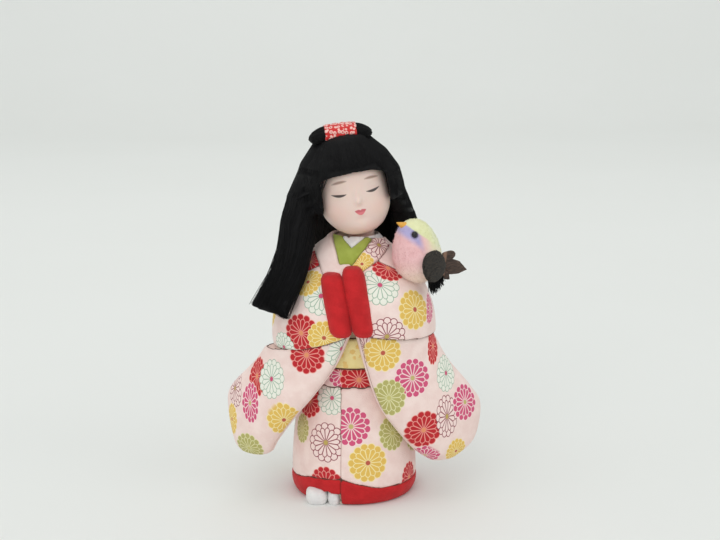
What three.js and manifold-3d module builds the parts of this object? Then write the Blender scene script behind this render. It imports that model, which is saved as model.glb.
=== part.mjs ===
// Kimekomi doll: a grooved wood-paste core dressed in separate cloth panels whose edges tuck into the
// grooves, with a head that turns and lifts out on its peg, silk-thread hair and a small feather bird.
// Millimetres, +Z up. The figure faces -Y, and its own left is +X. The origin is the middle of the base.
import * as THREE from "three";
import { mergeVertices } from "three/addons/utils/BufferGeometryUtils.js";
import Module from "manifold-3d";

const wasm = await Module();
wasm.setup();

// Cloth and clearances
const CLOTH = 0.8; // thickness of a glued cloth panel
const GLUE = 0.3; // room between a piece and what it is glued or tucked to
const GROOVE = 0.7; // width of the groove between two panels
const RUNNING = 0.3; // room round what turns or pulls out
const REACH = 90; // cutters run this far past the figure

// Skirt and hem
const HEM_A = 29.3; // half-width of the skirt at its hem
const HEM_B = 29.8; // half-depth of the skirt at its hem
const KNEE_A = 26.8;
const KNEE_B = 26;
const KNEE_Z = 40;
const WAIST_A = 22.5; // half-width under the obi
const WAIST_B = 21;
const FOLD_Z = 54.5; // lower edge of the tuck under the obi
const OBI_Z = 63; // lower edge of the obi
const FOLD_PROUD = 0.7; // how far the tuck stands off the skirt
const OBI_PROUD = 0.9;
const HEM_SIDE_Z = 7; // top of the red hem at the sides and back
const HEM_SEAM_Z = 12.7; // top of the red hem at the front seam
const SEAM_X = -6; // where the left skirt panel laps over the right one
const HEM_PROUD = 0.4; // how far the padded hem stands off the skirt
const HEM_TAPER = 2.2; // how much the hem draws in to the base
const BASE_T = 1.2; // thickness of the base cover

// Chest and arms
const ARM_A = 38; // half-width over the elbows
const ARM_B = 29.5;
const ARM_Y = -5;
const ARM_Z = 82;
const CHEST_A = 31.5;
const CHEST_B = 26.5;
const CHEST_RISE = 21; // from the elbows up to the chest
const CHEST_Z = ARM_Z + CHEST_RISE;
const SHOULDER_A = 24.5;
const SHOULDER_B = 19.5;
const SHOULDER_RISE = 8; // from the chest up to the shoulders
const SHOULDER_Z = CHEST_Z + SHOULDER_RISE;
const THROAT_A = 10.5; // half-width where the neck leaves the collar
const THROAT_RISE = 12.5; // from the shoulders up to the throat
const THROAT_Z = SHOULDER_Z + THROAT_RISE;
const ARM_GROOVE_RISE = 1; // how far the groove between arm and hanging sleeve lies above the elbow's middle
const ARM_GROOVE_Z = ARM_Z + ARM_GROOVE_RISE;
const ARM_GROOVE_DROP = { right: 11, left: 4.5 }; // how much lower that groove is at the elbow
const OBI_HIDDEN = 5; // how far the obi's top stops under that groove
const OBI_TOP_Z = ARM_GROOVE_Z - OBI_HIDDEN;
const YOKE_RISE = 8.2; // groove between shoulder and arm, at the middle
const YOKE_Z = SHOULDER_Z + YOKE_RISE;
const YOKE_SLOPE = 0.5;
const BACK_SEAM_X = 21; // half-width of the back panel
const BACK_SEAM_Y = 8;

// Collars, as outlines in the front view measured from the throat
const COLLAR_PROUD = 0.8;
const WHITE_V = [[-7.2, 1.5], [-1, -4.1], [9, 2.5]];
const GREEN_V = [[-10.6, 2.5], [-6.6, -10.5], [-0.8, -10.9], [12, 3]];
const RIGHT_COLLAR = [[-19.5, -3.5], [-12.6, -17.5], [2, -17.5], [2, -9.5], [-5, 2.5]];
const LEFT_COLLAR = [[-1, -10.9], [0, -15], [3.5, -13.5], [11.2, -9.2], [18.4, -3.2], [18.5, 3.5], [12, 3.5]];
const WHITE_R = 9.6; // the three layers where they pass round the neck
const GREEN_R = 11.6;
const COLLAR_R = 16.5;
const COLLAR_DEPTH = 30; // how far down round the neck the layers reach

// Bow at the back
const KNOT_A = 14;
const KNOT_B = 3.6;
const KNOT_H = 22;
const KNOT_RISE = 1; // of its top above the obi's
const KNOT_HIGH_Z = OBI_TOP_Z + KNOT_RISE;
const KNOT_LOW_Z = KNOT_HIGH_Z - KNOT_H;

// Hanging sleeves
const SLEEVE_WIDE_Z = 42; // height where the sleeves reach furthest out
const SLEEVE_OUT = 57.7;
const SLEEVE_TOP_OUT = 33; // how far out they reach under the arms
const SLEEVE_TURN = 31; // degrees that a sleeve swings back from the front
const SLEEVE_B = 8; // half-thickness
const SLEEVE_Y = -15;
// Each sleeve's lowest point, and from there up how far in from SLEEVE_OUT its outer and inner edges lie
const SLEEVES = {
  right: { lowZ: 20, lowX: 46, outer: [1.8, -0.6, 0.9, 14.2], inner: [21.7, 30.7, 38.3, 49] },
  left: { lowZ: 17.2, lowX: 41, outer: [1.2, -1.4, 4, 15.7], inner: [31, 42, 47.3, 52.2] },
};
const DOWEL_R = 2; // dowel that carries a sleeve on the body
const DOWEL_ANGLE = { right: 25, left: 39 }; // degrees in front of the side
const DOWEL_FROM = 17; // how far from the middle its ends lie
const DOWEL_TO = { right: 41, left: 35 };
const DOWEL_Z = 48;

// Cuffs
const CUFF_A = { right: 4.9, left: 4.6 };
const CUFF_B = 6;
const CUFF_H = { right: 26.5, left: 29.3 };
const CUFF_RISE = 0.5; // of the cuffs' lower ends above the elbow's middle
const CUFF_LOW_Z = ARM_Z + CUFF_RISE;
const CUFF_X = -0.3; // the line between the cuffs at their lower ends
const CUFF_LEAN = 0.18; // sideways lean for each step up
const CUFF_Y = -32;

// Feet
const FOOT_A = { right: 4.9, left: 2.8 }; // half-widths
const FOOT_B = 8;
const FOOT_H = 6.5;
const FOOT_X = -12.2; // the line between the two feet
const FOOT_Y = -20.5;

// Head, in its own frame with its origin on the neck's axis
const HEAD_X = 3.5;
const HEAD_SEAT = 0.5; // how far the head's origin lies under the throat
const HEAD_AT = [HEAD_X, 0, THROAT_Z - HEAD_SEAT];
const HEAD_LEAN = 10.5; // degrees to the figure's right
const HEAD_BOW = 7; // degrees forward
const HEAD_YAW = 6; // degrees to the figure's left
const HEAD_TURNS = [-4, 5, 10]; // degrees that the head can turn on its peg, left positive
const NECK_R = 6.2;
const NECK_DEPTH = 7; // how deep the neck sits in the body
const CHIN_Z = 4.3;
const CHEEK_A = 15.9;
const CHEEK_B = 18;
const CHEEK_Z = 22;
const SKULL_Z = 43.5;
const NOSE = [1.7, 2, 2.6]; // half-sizes
const PEG_R = 2.5;
const PEG_IN_HEAD = 12;
const PEG_IN_BODY = 21;
const WRAP_T = 0.9; // thickness of the paper wound on the peg

// Hair
const HAIR_A = 24; // half-width of the hair at the ears
const HAIR_B = 21.5;
const HAIR_Z = 22;
const HAIR_TOP_Z = 52;
const FRINGE_Z = 34.8; // cut edge of the fringe at its middle
const FRINGE_DROP = { right: 3, left: 5.5 }; // how much lower that edge is at the sides
const FACE_A = 15.2; // half-width of the face between the side hair
const HAIR_TIP_Z = 89; // height of the cut tips above the base
const LOCK_SHORT = 2; // how much higher the right lock is cut at its inner edge
const LOCK_SLANT = 8.5; // degrees that this cut rises outwards
const LOCK_T = 3.9; // half-thickness of a lock at its tip
const LOCK_A = 9.2; // half-width of a lock at its tip
const CURTAIN_A = 19; // half-width of the hair down the back
const HAIR_ROOM = 1.2; // least room between hanging hair and the cloth
const LOOP_A = 7.4;
const LOOP_B = 5;
const LOOP_C = 3.5;
const LOOP_X = -1; // place of the roll on the crown
const LOOP_Y = -2.3;
const LOOP_SUNK = 2.3; // how far the roll's middle lies under the top of the crown
const LOOP_LEVEL = 5; // degrees that the roll is turned back towards level
const LOOP_DROOP = 14;
const TIE_WIDTH = 14.6;
const TIE_T = 0.9;

// Bird, in its own frame: beak towards -X, +Z up
const BIRD_X = 28.3;
const BIRD_Y = -17;
const BIRD_RISE = 7.3; // of the bird's middle above the shoulders
const BIRD_AT = [BIRD_X, BIRD_Y, SHOULDER_Z + BIRD_RISE];
const BIRD_H = 29.5;
const BIRD_R = 11.2;
const BIRD_TURN = 14; // degrees that the bird turns its beak to the front
const BIRD_LEAN = 9; // degrees that its head leans towards its beak
const BIRD_FACE = 14; // degrees that its face turns further to the front
const BEAK_R = 1.7;
const BEAK_L = 5;
const BEAK_UP = 33; // degrees that the beak points up
const EYE_R = 1.5;
const EYE_SPREAD = 65; // degrees from the beak to an eye
const WING_L = 15.5;
const WING_W = 15.5;
const WING_T = 1.4;
const TAIL_L = 15;
const TAIL_W = 9;
const TAIL_T = 1.2;
const TAIL_DOWN = 23; // degrees that the tail slopes down from the bird's own level
const WIRE_R = 0.6;
const WIRE_IN_BODY = 9;
const WIRE_IN_BIRD = 6;
const WIRE_AXIS = [0.42, -0.5, 0.757]; // out of the shoulder

// Facets
const AROUND = 20;
const RINGS = 1; // rings between two sections

const rad = THREE.MathUtils.degToRad;

// Solids

function solid(geometry) {
  const bare = geometry.index ? geometry.toNonIndexed() : geometry.clone();
  for (const name of Object.keys(bare.attributes)) {
    if (name !== "position") bare.deleteAttribute(name);
  }
  const merged = mergeVertices(bare, 1e-4);
  const all = merged.index.array;
  const kept = [];
  for (let i = 0; i < all.length; i += 3) {
    const [p, q, r] = [all[i], all[i + 1], all[i + 2]];
    if (p !== q && q !== r && r !== p) kept.push(p, q, r);
  }
  const vertProperties = merged.attributes.position.array;
  return new wasm.Manifold(new wasm.Mesh({ numProp: 3, vertProperties, triVerts: new Uint32Array(kept) }));
}

function geometryOf(made) {
  const mesh = made.getMesh();
  const geometry = new THREE.BufferGeometry();
  geometry.setAttribute("position", new THREE.BufferAttribute(mesh.vertProperties, 3));
  geometry.setIndex(new THREE.BufferAttribute(mesh.triVerts, 1));
  geometry.computeVertexNormals();
  return geometry;
}

// A smooth closed form through level sections, each { z, a, b } with optional x, y, turn (degrees) and
// power (2 is an ellipse). grow moves the surface outwards, and open runs the ends past their sections.
function loft(sections, { grow = 0, open = 0, around = AROUND, rings = RINGS } = {}) {
  const filled = sections.map((s) => ({ x: 0, y: 0, turn: 0, power: 2, ...s }));
  const curves = {};
  for (const key of ["x", "y", "a", "b", "turn", "power"]) {
    curves[key] = new THREE.SplineCurve(filled.map((s) => new THREE.Vector2(s.z, s[key])));
  }
  const count = (filled.length - 1) * rings;
  const points = [];
  for (let i = 0; i <= count; i++) {
    const t = i / count;
    const at = (key) => curves[key].getPoint(t).y;
    const end = i === 0 ? -1 : i === count ? 1 : 0;
    const z = curves.a.getPoint(t).x + end * (grow + open);
    const half = [Math.max(at("a") + grow, 0.2), Math.max(at("b") + grow, 0.2)];
    for (let k = 0; k < around; k++) {
      const angle = (2 * Math.PI * k) / around;
      const [c, s] = [Math.cos(angle), Math.sin(angle)];
      const u = Math.sign(c) * Math.abs(c) ** (2 / at("power")) * half[0];
      const v = Math.sign(s) * Math.abs(s) ** (2 / at("power")) * half[1];
      const turn = rad(at("turn"));
      points.push(
        at("x") + u * Math.cos(turn) - v * Math.sin(turn),
        at("y") + u * Math.sin(turn) + v * Math.cos(turn),
        z,
      );
    }
  }
  return solid(closedRings(points, count + 1, around));
}

// Rings of points joined into one closed surface, with a flat fan at each end.
function closedRings(points, rings, around) {
  const index = [];
  const middle = (ring) => {
    const sum = new THREE.Vector3();
    for (let k = 0; k < around; k++) sum.add(new THREE.Vector3().fromArray(points, 3 * (ring * around + k)));
    return sum.divideScalar(around).toArray();
  };
  const bottom = rings * around;
  const all = [...points, ...middle(0), ...middle(rings - 1)];
  for (let k = 0; k < around; k++) {
    const next = (k + 1) % around;
    for (let i = 0; i < rings - 1; i++) {
      const [p, q] = [i * around + k, i * around + next];
      index.push(p, q, q + around, p, q + around, p + around);
    }
    index.push(bottom, next, k);
    index.push(bottom + 1, (rings - 1) * around + k, (rings - 1) * around + next);
  }
  const geometry = new THREE.BufferGeometry();
  geometry.setAttribute("position", new THREE.Float32BufferAttribute(all, 3));
  return geometry.setIndex(index);
}

// A cutter whose outline is drawn in the front view, x across and z up, from y = back to y = front.
function frontCutter(outline, front = -REACH, back = REACH) {
  const shape = new THREE.Shape(outline.map(([x, z]) => new THREE.Vector2(x, z)));
  const made = new THREE.ExtrudeGeometry(shape, { depth: back - front, bevelEnabled: false });
  return solid(made.rotateX(Math.PI / 2).translate(0, back, 0));
}

// Everything above, or below, a height that depends on x, as a front cutter.
function levelCutter(heights, { above }, front, back) {
  const far = above ? 2 * REACH : -REACH;
  const line = [[-REACH, heights[0][1]], ...heights, [REACH, heights.at(-1)[1]]];
  return frontCutter([...line, [REACH, far], [-REACH, far]], front, back);
}

function boxCutter(x0, x1, y0, y1, z0, z1) {
  const box = new THREE.BoxGeometry(x1 - x0, y1 - y0, z1 - z0);
  return solid(box.translate((x0 + x1) / 2, (y0 + y1) / 2, (z0 + z1) / 2));
}

// A round rod from z0 to z1 about the Z axis, or a cone when its top has another radius.
function rod(radius, z0, z1, sides = 16, top = radius) {
  const made = new THREE.CylinderGeometry(top, radius, z1 - z0, sides);
  return solid(made.rotateX(Math.PI / 2).translate(0, 0, (z0 + z1) / 2));
}

function ball(a, b, c, [x, y, z], across = 14, up = 8) {
  const sphere = new THREE.SphereGeometry(1, across, up).rotateX(Math.PI / 2);
  return solid(sphere.scale(a, b, c).translate(x, y, z));
}

// A solid moved from a group's own frame into the frame of the figure.
function placed(made, group) {
  group.updateMatrix();
  return made.transform(group.matrix.toArray());
}

const joined = (solids) => solids.reduce((all, one) => all.add(one));

// Materials

const finish = (color, roughness) => new THREE.MeshStandardMaterial({ color, roughness, metalness: 0 });
const PAINTS = {
  paste: finish(0xb79a72, 0.9),
  wood: finish(0xc9a877, 0.7),
  paper: finish(0xe9e2d0, 0.9),
  print: finish(0xf0cfc8, 0.85),
  red: finish(0xb3161f, 0.8),
  green: finish(0x8fae2c, 0.85),
  white: finish(0xf1efec, 0.85),
  gold: finish(0xd8cf6a, 0.75),
  gofun: finish(0xefd9cd, 0.45),
  hair: finish(0x0b0a0c, 0.4),
  kanoko: finish(0xd42b24, 0.8),
  down: finish(0xeec3c0, 0.95),
  beak: finish(0xe0a23a, 0.5),
  bead: finish(0x101018, 0.15),
  feather: finish(0x33251c, 0.8),
  wire: finish(0x6a6a6a, 0.4),
};

const doll = new THREE.Group();

function add(name, made, paint, parent = doll) {
  const mesh = new THREE.Mesh(geometryOf(made), PAINTS[paint]);
  mesh.name = name;
  parent.add(mesh);
  return mesh;
}

// Frames of the head and the bird

const headFrame = new THREE.Group();
headFrame.position.set(...HEAD_AT);
headFrame.rotation.set(rad(HEAD_BOW), -rad(HEAD_LEAN), rad(HEAD_YAW), "YXZ");
const birdFrame = new THREE.Group();
birdFrame.position.set(...BIRD_AT);
birdFrame.rotation.set(0, -rad(BIRD_LEAN), rad(BIRD_TURN), "ZYX");
const wireFrame = new THREE.Group();
const wireDirection = new THREE.Vector3(...WIRE_AXIS).normalize();
wireFrame.quaternion.setFromUnitVectors(new THREE.Vector3(0, 0, 1), wireDirection);
wireFrame.position.set(...BIRD_AT).addScaledVector(wireDirection, -BIRD_R);

// Main forms, measured to the outside of their cloth

const SKIRT = [
  { z: 0, a: HEM_A - HEM_TAPER, b: HEM_B - HEM_TAPER },
  { z: HEM_SIDE_Z, a: HEM_A, b: HEM_B },
  { z: KNEE_Z - 14, a: HEM_A - 0.6, b: HEM_B - 0.8 },
  { z: KNEE_Z, a: KNEE_A, b: KNEE_B },
  { z: FOLD_Z, a: WAIST_A + 1, b: WAIST_B + 1 },
  { z: OBI_Z + 5, a: WAIST_A, b: WAIST_B },
  { z: OBI_TOP_Z + 6, a: WAIST_A, b: WAIST_B },
];

const ELBOW_Z = ARM_GROOVE_Z - ARM_GROOVE_DROP.right;
const UPPER = [
  { z: ELBOW_Z - 5.5, a: ARM_A - 8, b: ARM_B - 9, y: ARM_Y, power: 2.2 },
  { z: ELBOW_Z - 0.5, a: ARM_A - 1, b: ARM_B - 2, y: ARM_Y, power: 2.3 },
  { z: ARM_Z, a: ARM_A, b: ARM_B, y: ARM_Y, power: 2.3 },
  { z: (ARM_Z + CHEST_Z) / 2, a: ARM_A - 1.8, b: ARM_B - 0.5, y: ARM_Y, power: 2.3 },
  { z: CHEST_Z, a: CHEST_A, b: CHEST_B, y: ARM_Y + 1, power: 2.2 },
  { z: SHOULDER_Z, a: SHOULDER_A, b: SHOULDER_B, y: ARM_Y + 2.5 },
  { z: (SHOULDER_Z + THROAT_Z) / 2 - 0.25, a: SHOULDER_A - 6.5, b: SHOULDER_B - 4, y: ARM_Y + 3.5 },
  { z: THROAT_Z, a: THROAT_A, b: THROAT_A, x: 1, y: 0 },
];

function sleeveSections(name) {
  const side = SIDES[name];
  const { lowZ, lowX, outer, inner } = SLEEVES[name];
  const row = (z, inside, outside, b, y) => ({
    z,
    x: (side * (inside + outside)) / 2,
    y,
    a: (outside - inside) / 2 / Math.cos(rad(SLEEVE_TURN)),
    b,
    turn: side * SLEEVE_TURN,
    power: 2.3,
  });
  const edges = (k) => [SLEEVE_OUT - inner[k], SLEEVE_OUT - outer[k]];
  const drop = SLEEVE_WIDE_Z - lowZ;
  const rise = ARM_GROOVE_Z - SLEEVE_WIDE_Z;
  return [
    row(lowZ, lowX - 3, lowX + 3, SLEEVE_B - 5.5, SLEEVE_Y + 4),
    row(lowZ + 2, lowX - 7, lowX + 7.5, SLEEVE_B - 2.8, SLEEVE_Y + 3.5),
    row(lowZ + drop * 0.38, ...edges(0), SLEEVE_B - 0.8, SLEEVE_Y + 2),
    row(SLEEVE_WIDE_Z, ...edges(1), SLEEVE_B, SLEEVE_Y),
    row(SLEEVE_WIDE_Z + rise * 0.24, ...edges(2), SLEEVE_B, SLEEVE_Y - 1.4),
    row(SLEEVE_WIDE_Z + rise * 0.61, ...edges(3), SLEEVE_B + 0.6, SLEEVE_Y - 3.2),
    row(ARM_GROOVE_Z + 2, 0.9, SLEEVE_TOP_OUT, SLEEVE_B + 1.5, SLEEVE_Y - 4),
  ];
}

// Grooves, as heights across the front view

const mirrored = (half) => [...half.slice(1).reverse().map(([x, z]) => [-x, z]), ...half];
const armGroove = (lift) => {
  const falls = [[12, 0.42], [24, 0.76], [ARM_A + 2, 1]];
  const half = (name) =>
    falls.map(([x, share]) => [SIDES[name] * x, ARM_GROOVE_Z - ARM_GROOVE_DROP[name] * share + lift]);
  return [...half("right").reverse(), [0, ARM_GROOVE_Z + lift], ...half("left")];
};
const yokeGroove = (lift) =>
  mirrored([
    [0, YOKE_Z + lift],
    [REACH / 2, YOKE_Z - (YOKE_SLOPE * REACH) / 2 + lift],
  ]);
const hemGroove = (lift) => [
  [-HEM_A - 3, HEM_SIDE_Z + lift],
  [SEAM_X - 15, HEM_SEAM_Z - 1.4 + lift],
  [SEAM_X, HEM_SEAM_Z + lift],
  [SEAM_X + 9, (HEM_SEAM_Z + HEM_SIDE_Z) / 2 + 0.3 + lift],
  [SEAM_X + 18, HEM_SIDE_Z + 0.9 + lift],
  [HEM_A + 3, HEM_SIDE_Z + lift],
];

// An outline pushed outwards on all sides.
function grown(outline, by) {
  const points = outline.map(([x, z]) => new THREE.Vector2(x, z));
  const outward = THREE.ShapeUtils.isClockWise(points) ? -by : by;
  return points.map((p, i) => {
    const before = p.clone().sub(points.at(i - 1)).normalize();
    const after = points[(i + 1) % points.length].clone().sub(p).normalize();
    const normal = new THREE.Vector2(before.y + after.y, -before.x - after.x).normalize();
    const along = Math.max(new THREE.Vector2(before.y, -before.x).dot(normal), 0.4);
    return p.clone().addScaledVector(normal, outward / along).toArray();
  });
}

const SIDES = { right: -1, left: 1 };
const CORE = -(CLOTH + GLUE); // the core lies this far under the outside of the cloth
const HALF = GROOVE / 2;
const sideCutter = (name, middle, gap) =>
  name === "left"
    ? boxCutter(middle + gap, 2 * REACH, -REACH, REACH, -REACH, 2 * REACH)
    : boxCutter(-2 * REACH, middle - gap, -REACH, REACH, -REACH, 2 * REACH);
const levels = (z0, z1) => boxCutter(-REACH, REACH, -REACH, REACH, z0, z1);

// Whole forms

const armsAbove = levelCutter(armGroove(HALF), { above: true });
const sleevesBelow = levelCutter(armGroove(-HALF), { above: false });
const upperForm = (grow) => loft(UPPER, { grow });
const waistForm = (grow, open = 0) => loft(SKIRT, { grow, open });
const sleeveForm = (name, grow) => loft(sleeveSections(name), { grow });

function cuffForm(name, grow) {
  const section = (t, share) => ({
    z: CUFF_LOW_Z + t * CUFF_H[name],
    x: SIDES[name] * (CUFF_A[name] + GLUE / 2) + CUFF_X - t * CUFF_H[name] * CUFF_LEAN,
    y: CUFF_Y + 7 * t * t,
    a: CUFF_A[name] * share,
    b: CUFF_B * share,
    power: 2.4,
  });
  const rounded = [[0, 0.72], [0.08, 0.97], [0.5, 1], [0.92, 0.97], [1, 0.72]];
  return loft(rounded.map(([t, share]) => section(t, share)), { grow, around: 16 });
}

function footForm(name, grow = 0) {
  const half = FOOT_A[name];
  const x = FOOT_X + SIDES[name] * (half + GLUE / 2);
  const section = (z, share) => ({ z, x, y: FOOT_Y, a: half * share, b: FOOT_B * share, power: 3 });
  return loft(
    [section(0, 0.94), section(FOOT_H * 0.35, 1), section(FOOT_H * 0.8, 0.94), section(FOOT_H, 0.7)],
    { grow, around: 16 },
  );
}

function dowelForm(name, room = 0) {
  const frame = new THREE.Group();
  const angle = SIDES[name] * rad(90 - DOWEL_ANGLE[name]) - Math.PI / 2;
  frame.rotation.set(0, Math.PI / 2, angle, "ZYX");
  frame.position.set(0, 0, DOWEL_Z);
  return placed(rod(DOWEL_R + room, DOWEL_FROM - room, DOWEL_TO[name] + room, 12), frame);
}

const chinRoom = rod(NECK_R, -1, CHIN_Z, AROUND, CHEEK_A - 1.5);
const neckWell = (room) =>
  placed(rod(NECK_R + room, -NECK_DEPTH - room, REACH / 3, AROUND).add(chinRoom), headFrame);
const pegSocket = (room) =>
  placed(rod(PEG_R + RUNNING + WRAP_T + room, -NECK_DEPTH - PEG_IN_BODY - room, 0), headFrame);
const neckRing = (radius) => placed(rod(radius, -COLLAR_DEPTH, COLLAR_DEPTH, AROUND), headFrame);
const wireForm = (radius, from, to) => placed(rod(radius, from, to, 8), wireFrame);

const cuffLine = (up, x) => [x + CUFF_X - up * CUFF_LEAN, CUFF_LOW_Z + up];
const gapTop = CUFF_H.right * 0.95;
const cuffGap = frontCutter(
  [cuffLine(0, -2), cuffLine(0, 2), cuffLine(gapTop, 2), cuffLine(gapTop, -2)],
  CUFF_Y - CUFF_B,
  CUFF_Y + CUFF_B,
);
const cuffRoom = joined([cuffForm("right", GLUE), cuffForm("left", GLUE), cuffGap]);
const betweenFeet = boxCutter(FOOT_X - 1, FOOT_X + 1, FOOT_Y - FOOT_B, FOOT_Y + FOOT_B, -REACH, FOOT_H);
const feetRoom = joined([footForm("right", GLUE), footForm("left", GLUE), betweenFeet]);
const openingX = FOOT_X - 2 * FOOT_A.right - GLUE;
const footOpening = boxCutter(openingX, SEAM_X, -REACH, FOOT_Y, -REACH, FOOT_H * 0.9);
const dowelRoom = dowelForm("right", GLUE).add(dowelForm("left", GLUE));

// Core, sleeve cores, dowels, base cover and feet

const pegHole = neckWell(RUNNING).add(pegSocket(RUNNING));
const wireHole = wireForm(WIRE_R + RUNNING, -WIRE_IN_BODY - RUNNING, REACH / 4);
const chestCore = upperForm(CORE);
const trunk = waistForm(CORE).intersect(levels(BASE_T + GLUE, REACH)).subtract(armsAbove.subtract(chestCore));
const bodyCore = trunk
  .add(chestCore.intersect(armsAbove))
  .subtract(cuffRoom)
  .subtract(pegHole)
  .subtract(wireHole)
  .subtract(feetRoom)
  .subtract(dowelRoom);
add("body_core", bodyCore, "paste");

const underObi = waistForm(OBI_PROUD + GLUE, 2);
for (const name of ["right", "left"]) {
  const core = sleeveForm(name, CORE).intersect(sleevesBelow).subtract(underObi);
  add(`${name}_sleeve_core`, core.subtract(dowelRoom).subtract(cuffRoom), "paste");
  add(`${name}_sleeve_dowel`, dowelForm(name), "wood");
  add(`${name}_foot`, footForm(name).intersect(levels(0, REACH)), "white");
}
const baseDisc = waistForm(CORE, 3).intersect(levels(0, BASE_T));
add("base_cover", baseDisc.subtract(feetRoom), "paper");

// Skirt, hem, tuck and obi

const skirtInside = waistForm(-CLOTH, 6);
const seamOf = (name) => {
  const front = sideCutter(name, SEAM_X, HALF).intersect(boxCutter(-REACH, REACH, -REACH, 0, -REACH, REACH));
  const back = sideCutter(name, 0, HALF).intersect(boxCutter(-REACH, REACH, 0, REACH, -REACH, REACH));
  return front.add(back);
};
const skirtShell = waistForm(0, 6)
  .subtract(skirtInside)
  .intersect(levelCutter(hemGroove(HALF), { above: true }))
  .intersect(levels(0, FOLD_Z - HALF))
  .subtract(dowelRoom);
const hemShell = waistForm(HEM_PROUD, 6)
  .subtract(skirtInside)
  .intersect(levelCutter(hemGroove(-HALF), { above: false }))
  .intersect(levels(0, REACH))
  .subtract(feetRoom)
  .subtract(footOpening);
for (const name of ["right", "left"]) {
  add(`${name}_skirt_panel`, skirtShell.intersect(seamOf(name)), "print");
  add(`${name}_hem`, hemShell.intersect(seamOf(name)), "red");
}
const tuck = waistForm(FOLD_PROUD).subtract(skirtInside).intersect(levels(FOLD_Z + HALF, OBI_Z - HALF));
add("waist_tuck", tuck, "print");
const obi = waistForm(OBI_PROUD).subtract(skirtInside).intersect(levels(OBI_Z + HALF, OBI_TOP_Z));
add("obi_band", obi.intersect(sleevesBelow), "gold");

const knotSections = (grow) => {
  const y = WAIST_B + OBI_PROUD + GLUE + KNOT_B;
  const middle = (KNOT_LOW_Z + KNOT_HIGH_Z) / 2;
  const section = (z, a, b) => ({ z, y, a, b, power: 3 });
  return loft(
    [
      section(KNOT_LOW_Z, KNOT_A - 2, KNOT_B - 1.2),
      section(KNOT_LOW_Z + 3, KNOT_A, KNOT_B),
      section(middle, KNOT_A - 1, KNOT_B),
      section(KNOT_HIGH_Z - 3, KNOT_A, KNOT_B),
      section(KNOT_HIGH_Z, KNOT_A - 2, KNOT_B - 1.2),
    ],
    { grow, around: 16 },
  );
};
const knot = knotSections(0).intersect(sleevesBelow).subtract(waistForm(OBI_PROUD + GLUE));
add("obi_knot", knot, "gold");

// Sleeve cloth: a front and a back panel that meet in a groove along the sleeve's edge

function sleeveHalf(name, towards) {
  const side = SIDES[name];
  const normal = [side * Math.sin(rad(SLEEVE_TURN)), -Math.cos(rad(SLEEVE_TURN))];
  const depth = 40;
  const sections = sleeveSections(name).map((s) => ({
    ...s,
    x: s.x + towards * normal[0] * (depth + HALF),
    y: s.y + towards * normal[1] * (depth + HALF),
    a: s.a + 40,
    b: depth,
    power: 14,
  }));
  return loft(sections, { open: 6, around: 16 });
}
for (const name of ["right", "left"]) {
  const shell = sleeveForm(name, 0)
    .subtract(sleeveForm(name, -CLOTH))
    .intersect(sleevesBelow)
    .subtract(underObi)
    .subtract(dowelRoom)
    .subtract(cuffRoom);
  add(`${name}_sleeve_front`, shell.intersect(sleeveHalf(name, 1)), "print");
  add(`${name}_sleeve_back`, shell.intersect(sleeveHalf(name, -1)), "print");
  add(`${name}_cuff`, cuffForm(name, 0), "red");
}

// Chest cloth: collars round the neck, then shoulders, back and arms around them

const front = boxCutter(-REACH, REACH, -REACH, 0, -REACH, 2 * REACH);
const collarLine = (outline, by) =>
  frontCutter(grown(outline, by).map(([x, z]) => [x, THROAT_Z + z])).intersect(front);
const behind = boxCutter(-REACH, REACH, 0, REACH, -REACH, 2 * REACH);
const whiteRegion = (by) => neckRing(WHITE_R + by).add(collarLine(WHITE_V, by));
const greenRegion = (by) => neckRing(GREEN_R + by).intersect(behind).add(collarLine(GREEN_V, by));
const bandRing = (name, by) => neckRing(COLLAR_R + by).intersect(sideCutter(name, HEAD_AT[0], HALF - by));
const leftBand = (by) => bandRing("left", by).intersect(behind).add(collarLine(LEFT_COLLAR, by));
const rightBand = (by) => bandRing("right", by).intersect(behind).add(collarLine(RIGHT_COLLAR, by));
const backRegion = (by) =>
  boxCutter(-BACK_SEAM_X - by, BACK_SEAM_X + by, BACK_SEAM_Y - by, REACH, -REACH, 2 * REACH);
const yokeRegion = (by) =>
  levelCutter(yokeGroove(HALF - by), { above: true }, -REACH, BACK_SEAM_Y - HALF + by);

const chestInside = upperForm(-CLOTH);
const chestHoles = joined([chestInside, pegHole, cuffRoom]);
const chestShell = upperForm(0).intersect(armsAbove).subtract(chestHoles);
const proudShell = upperForm(COLLAR_PROUD).subtract(chestHoles);
const collars = joined([whiteRegion(GROOVE), greenRegion(GROOVE), leftBand(GROOVE), rightBand(GROOVE)]);

add("white_collar", chestShell.intersect(whiteRegion(0)), "white");
add("green_collar", chestShell.intersect(greenRegion(0)).subtract(whiteRegion(GLUE)), "green");
const inner = greenRegion(GLUE).add(whiteRegion(GLUE));
add("left_collar", proudShell.intersect(leftBand(0)).subtract(inner), "print");
const rightCollar = proudShell.intersect(rightBand(0)).subtract(inner).subtract(leftBand(GLUE));
add("right_collar", rightCollar, "print");

const clothed = chestShell.subtract(collars).subtract(wireHole);
add("back_panel", clothed.intersect(backRegion(0)), "print");
for (const name of ["right", "left"]) {
  const half = clothed.subtract(backRegion(GROOVE)).intersect(sideCutter(name, 0, HALF));
  add(`${name}_shoulder_panel`, half.intersect(yokeRegion(0)), "print");
  add(`${name}_arm_panel`, half.subtract(yokeRegion(GROOVE)), "print");
}

// Head on its peg, with the paper wrap that the peg turns in

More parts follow.
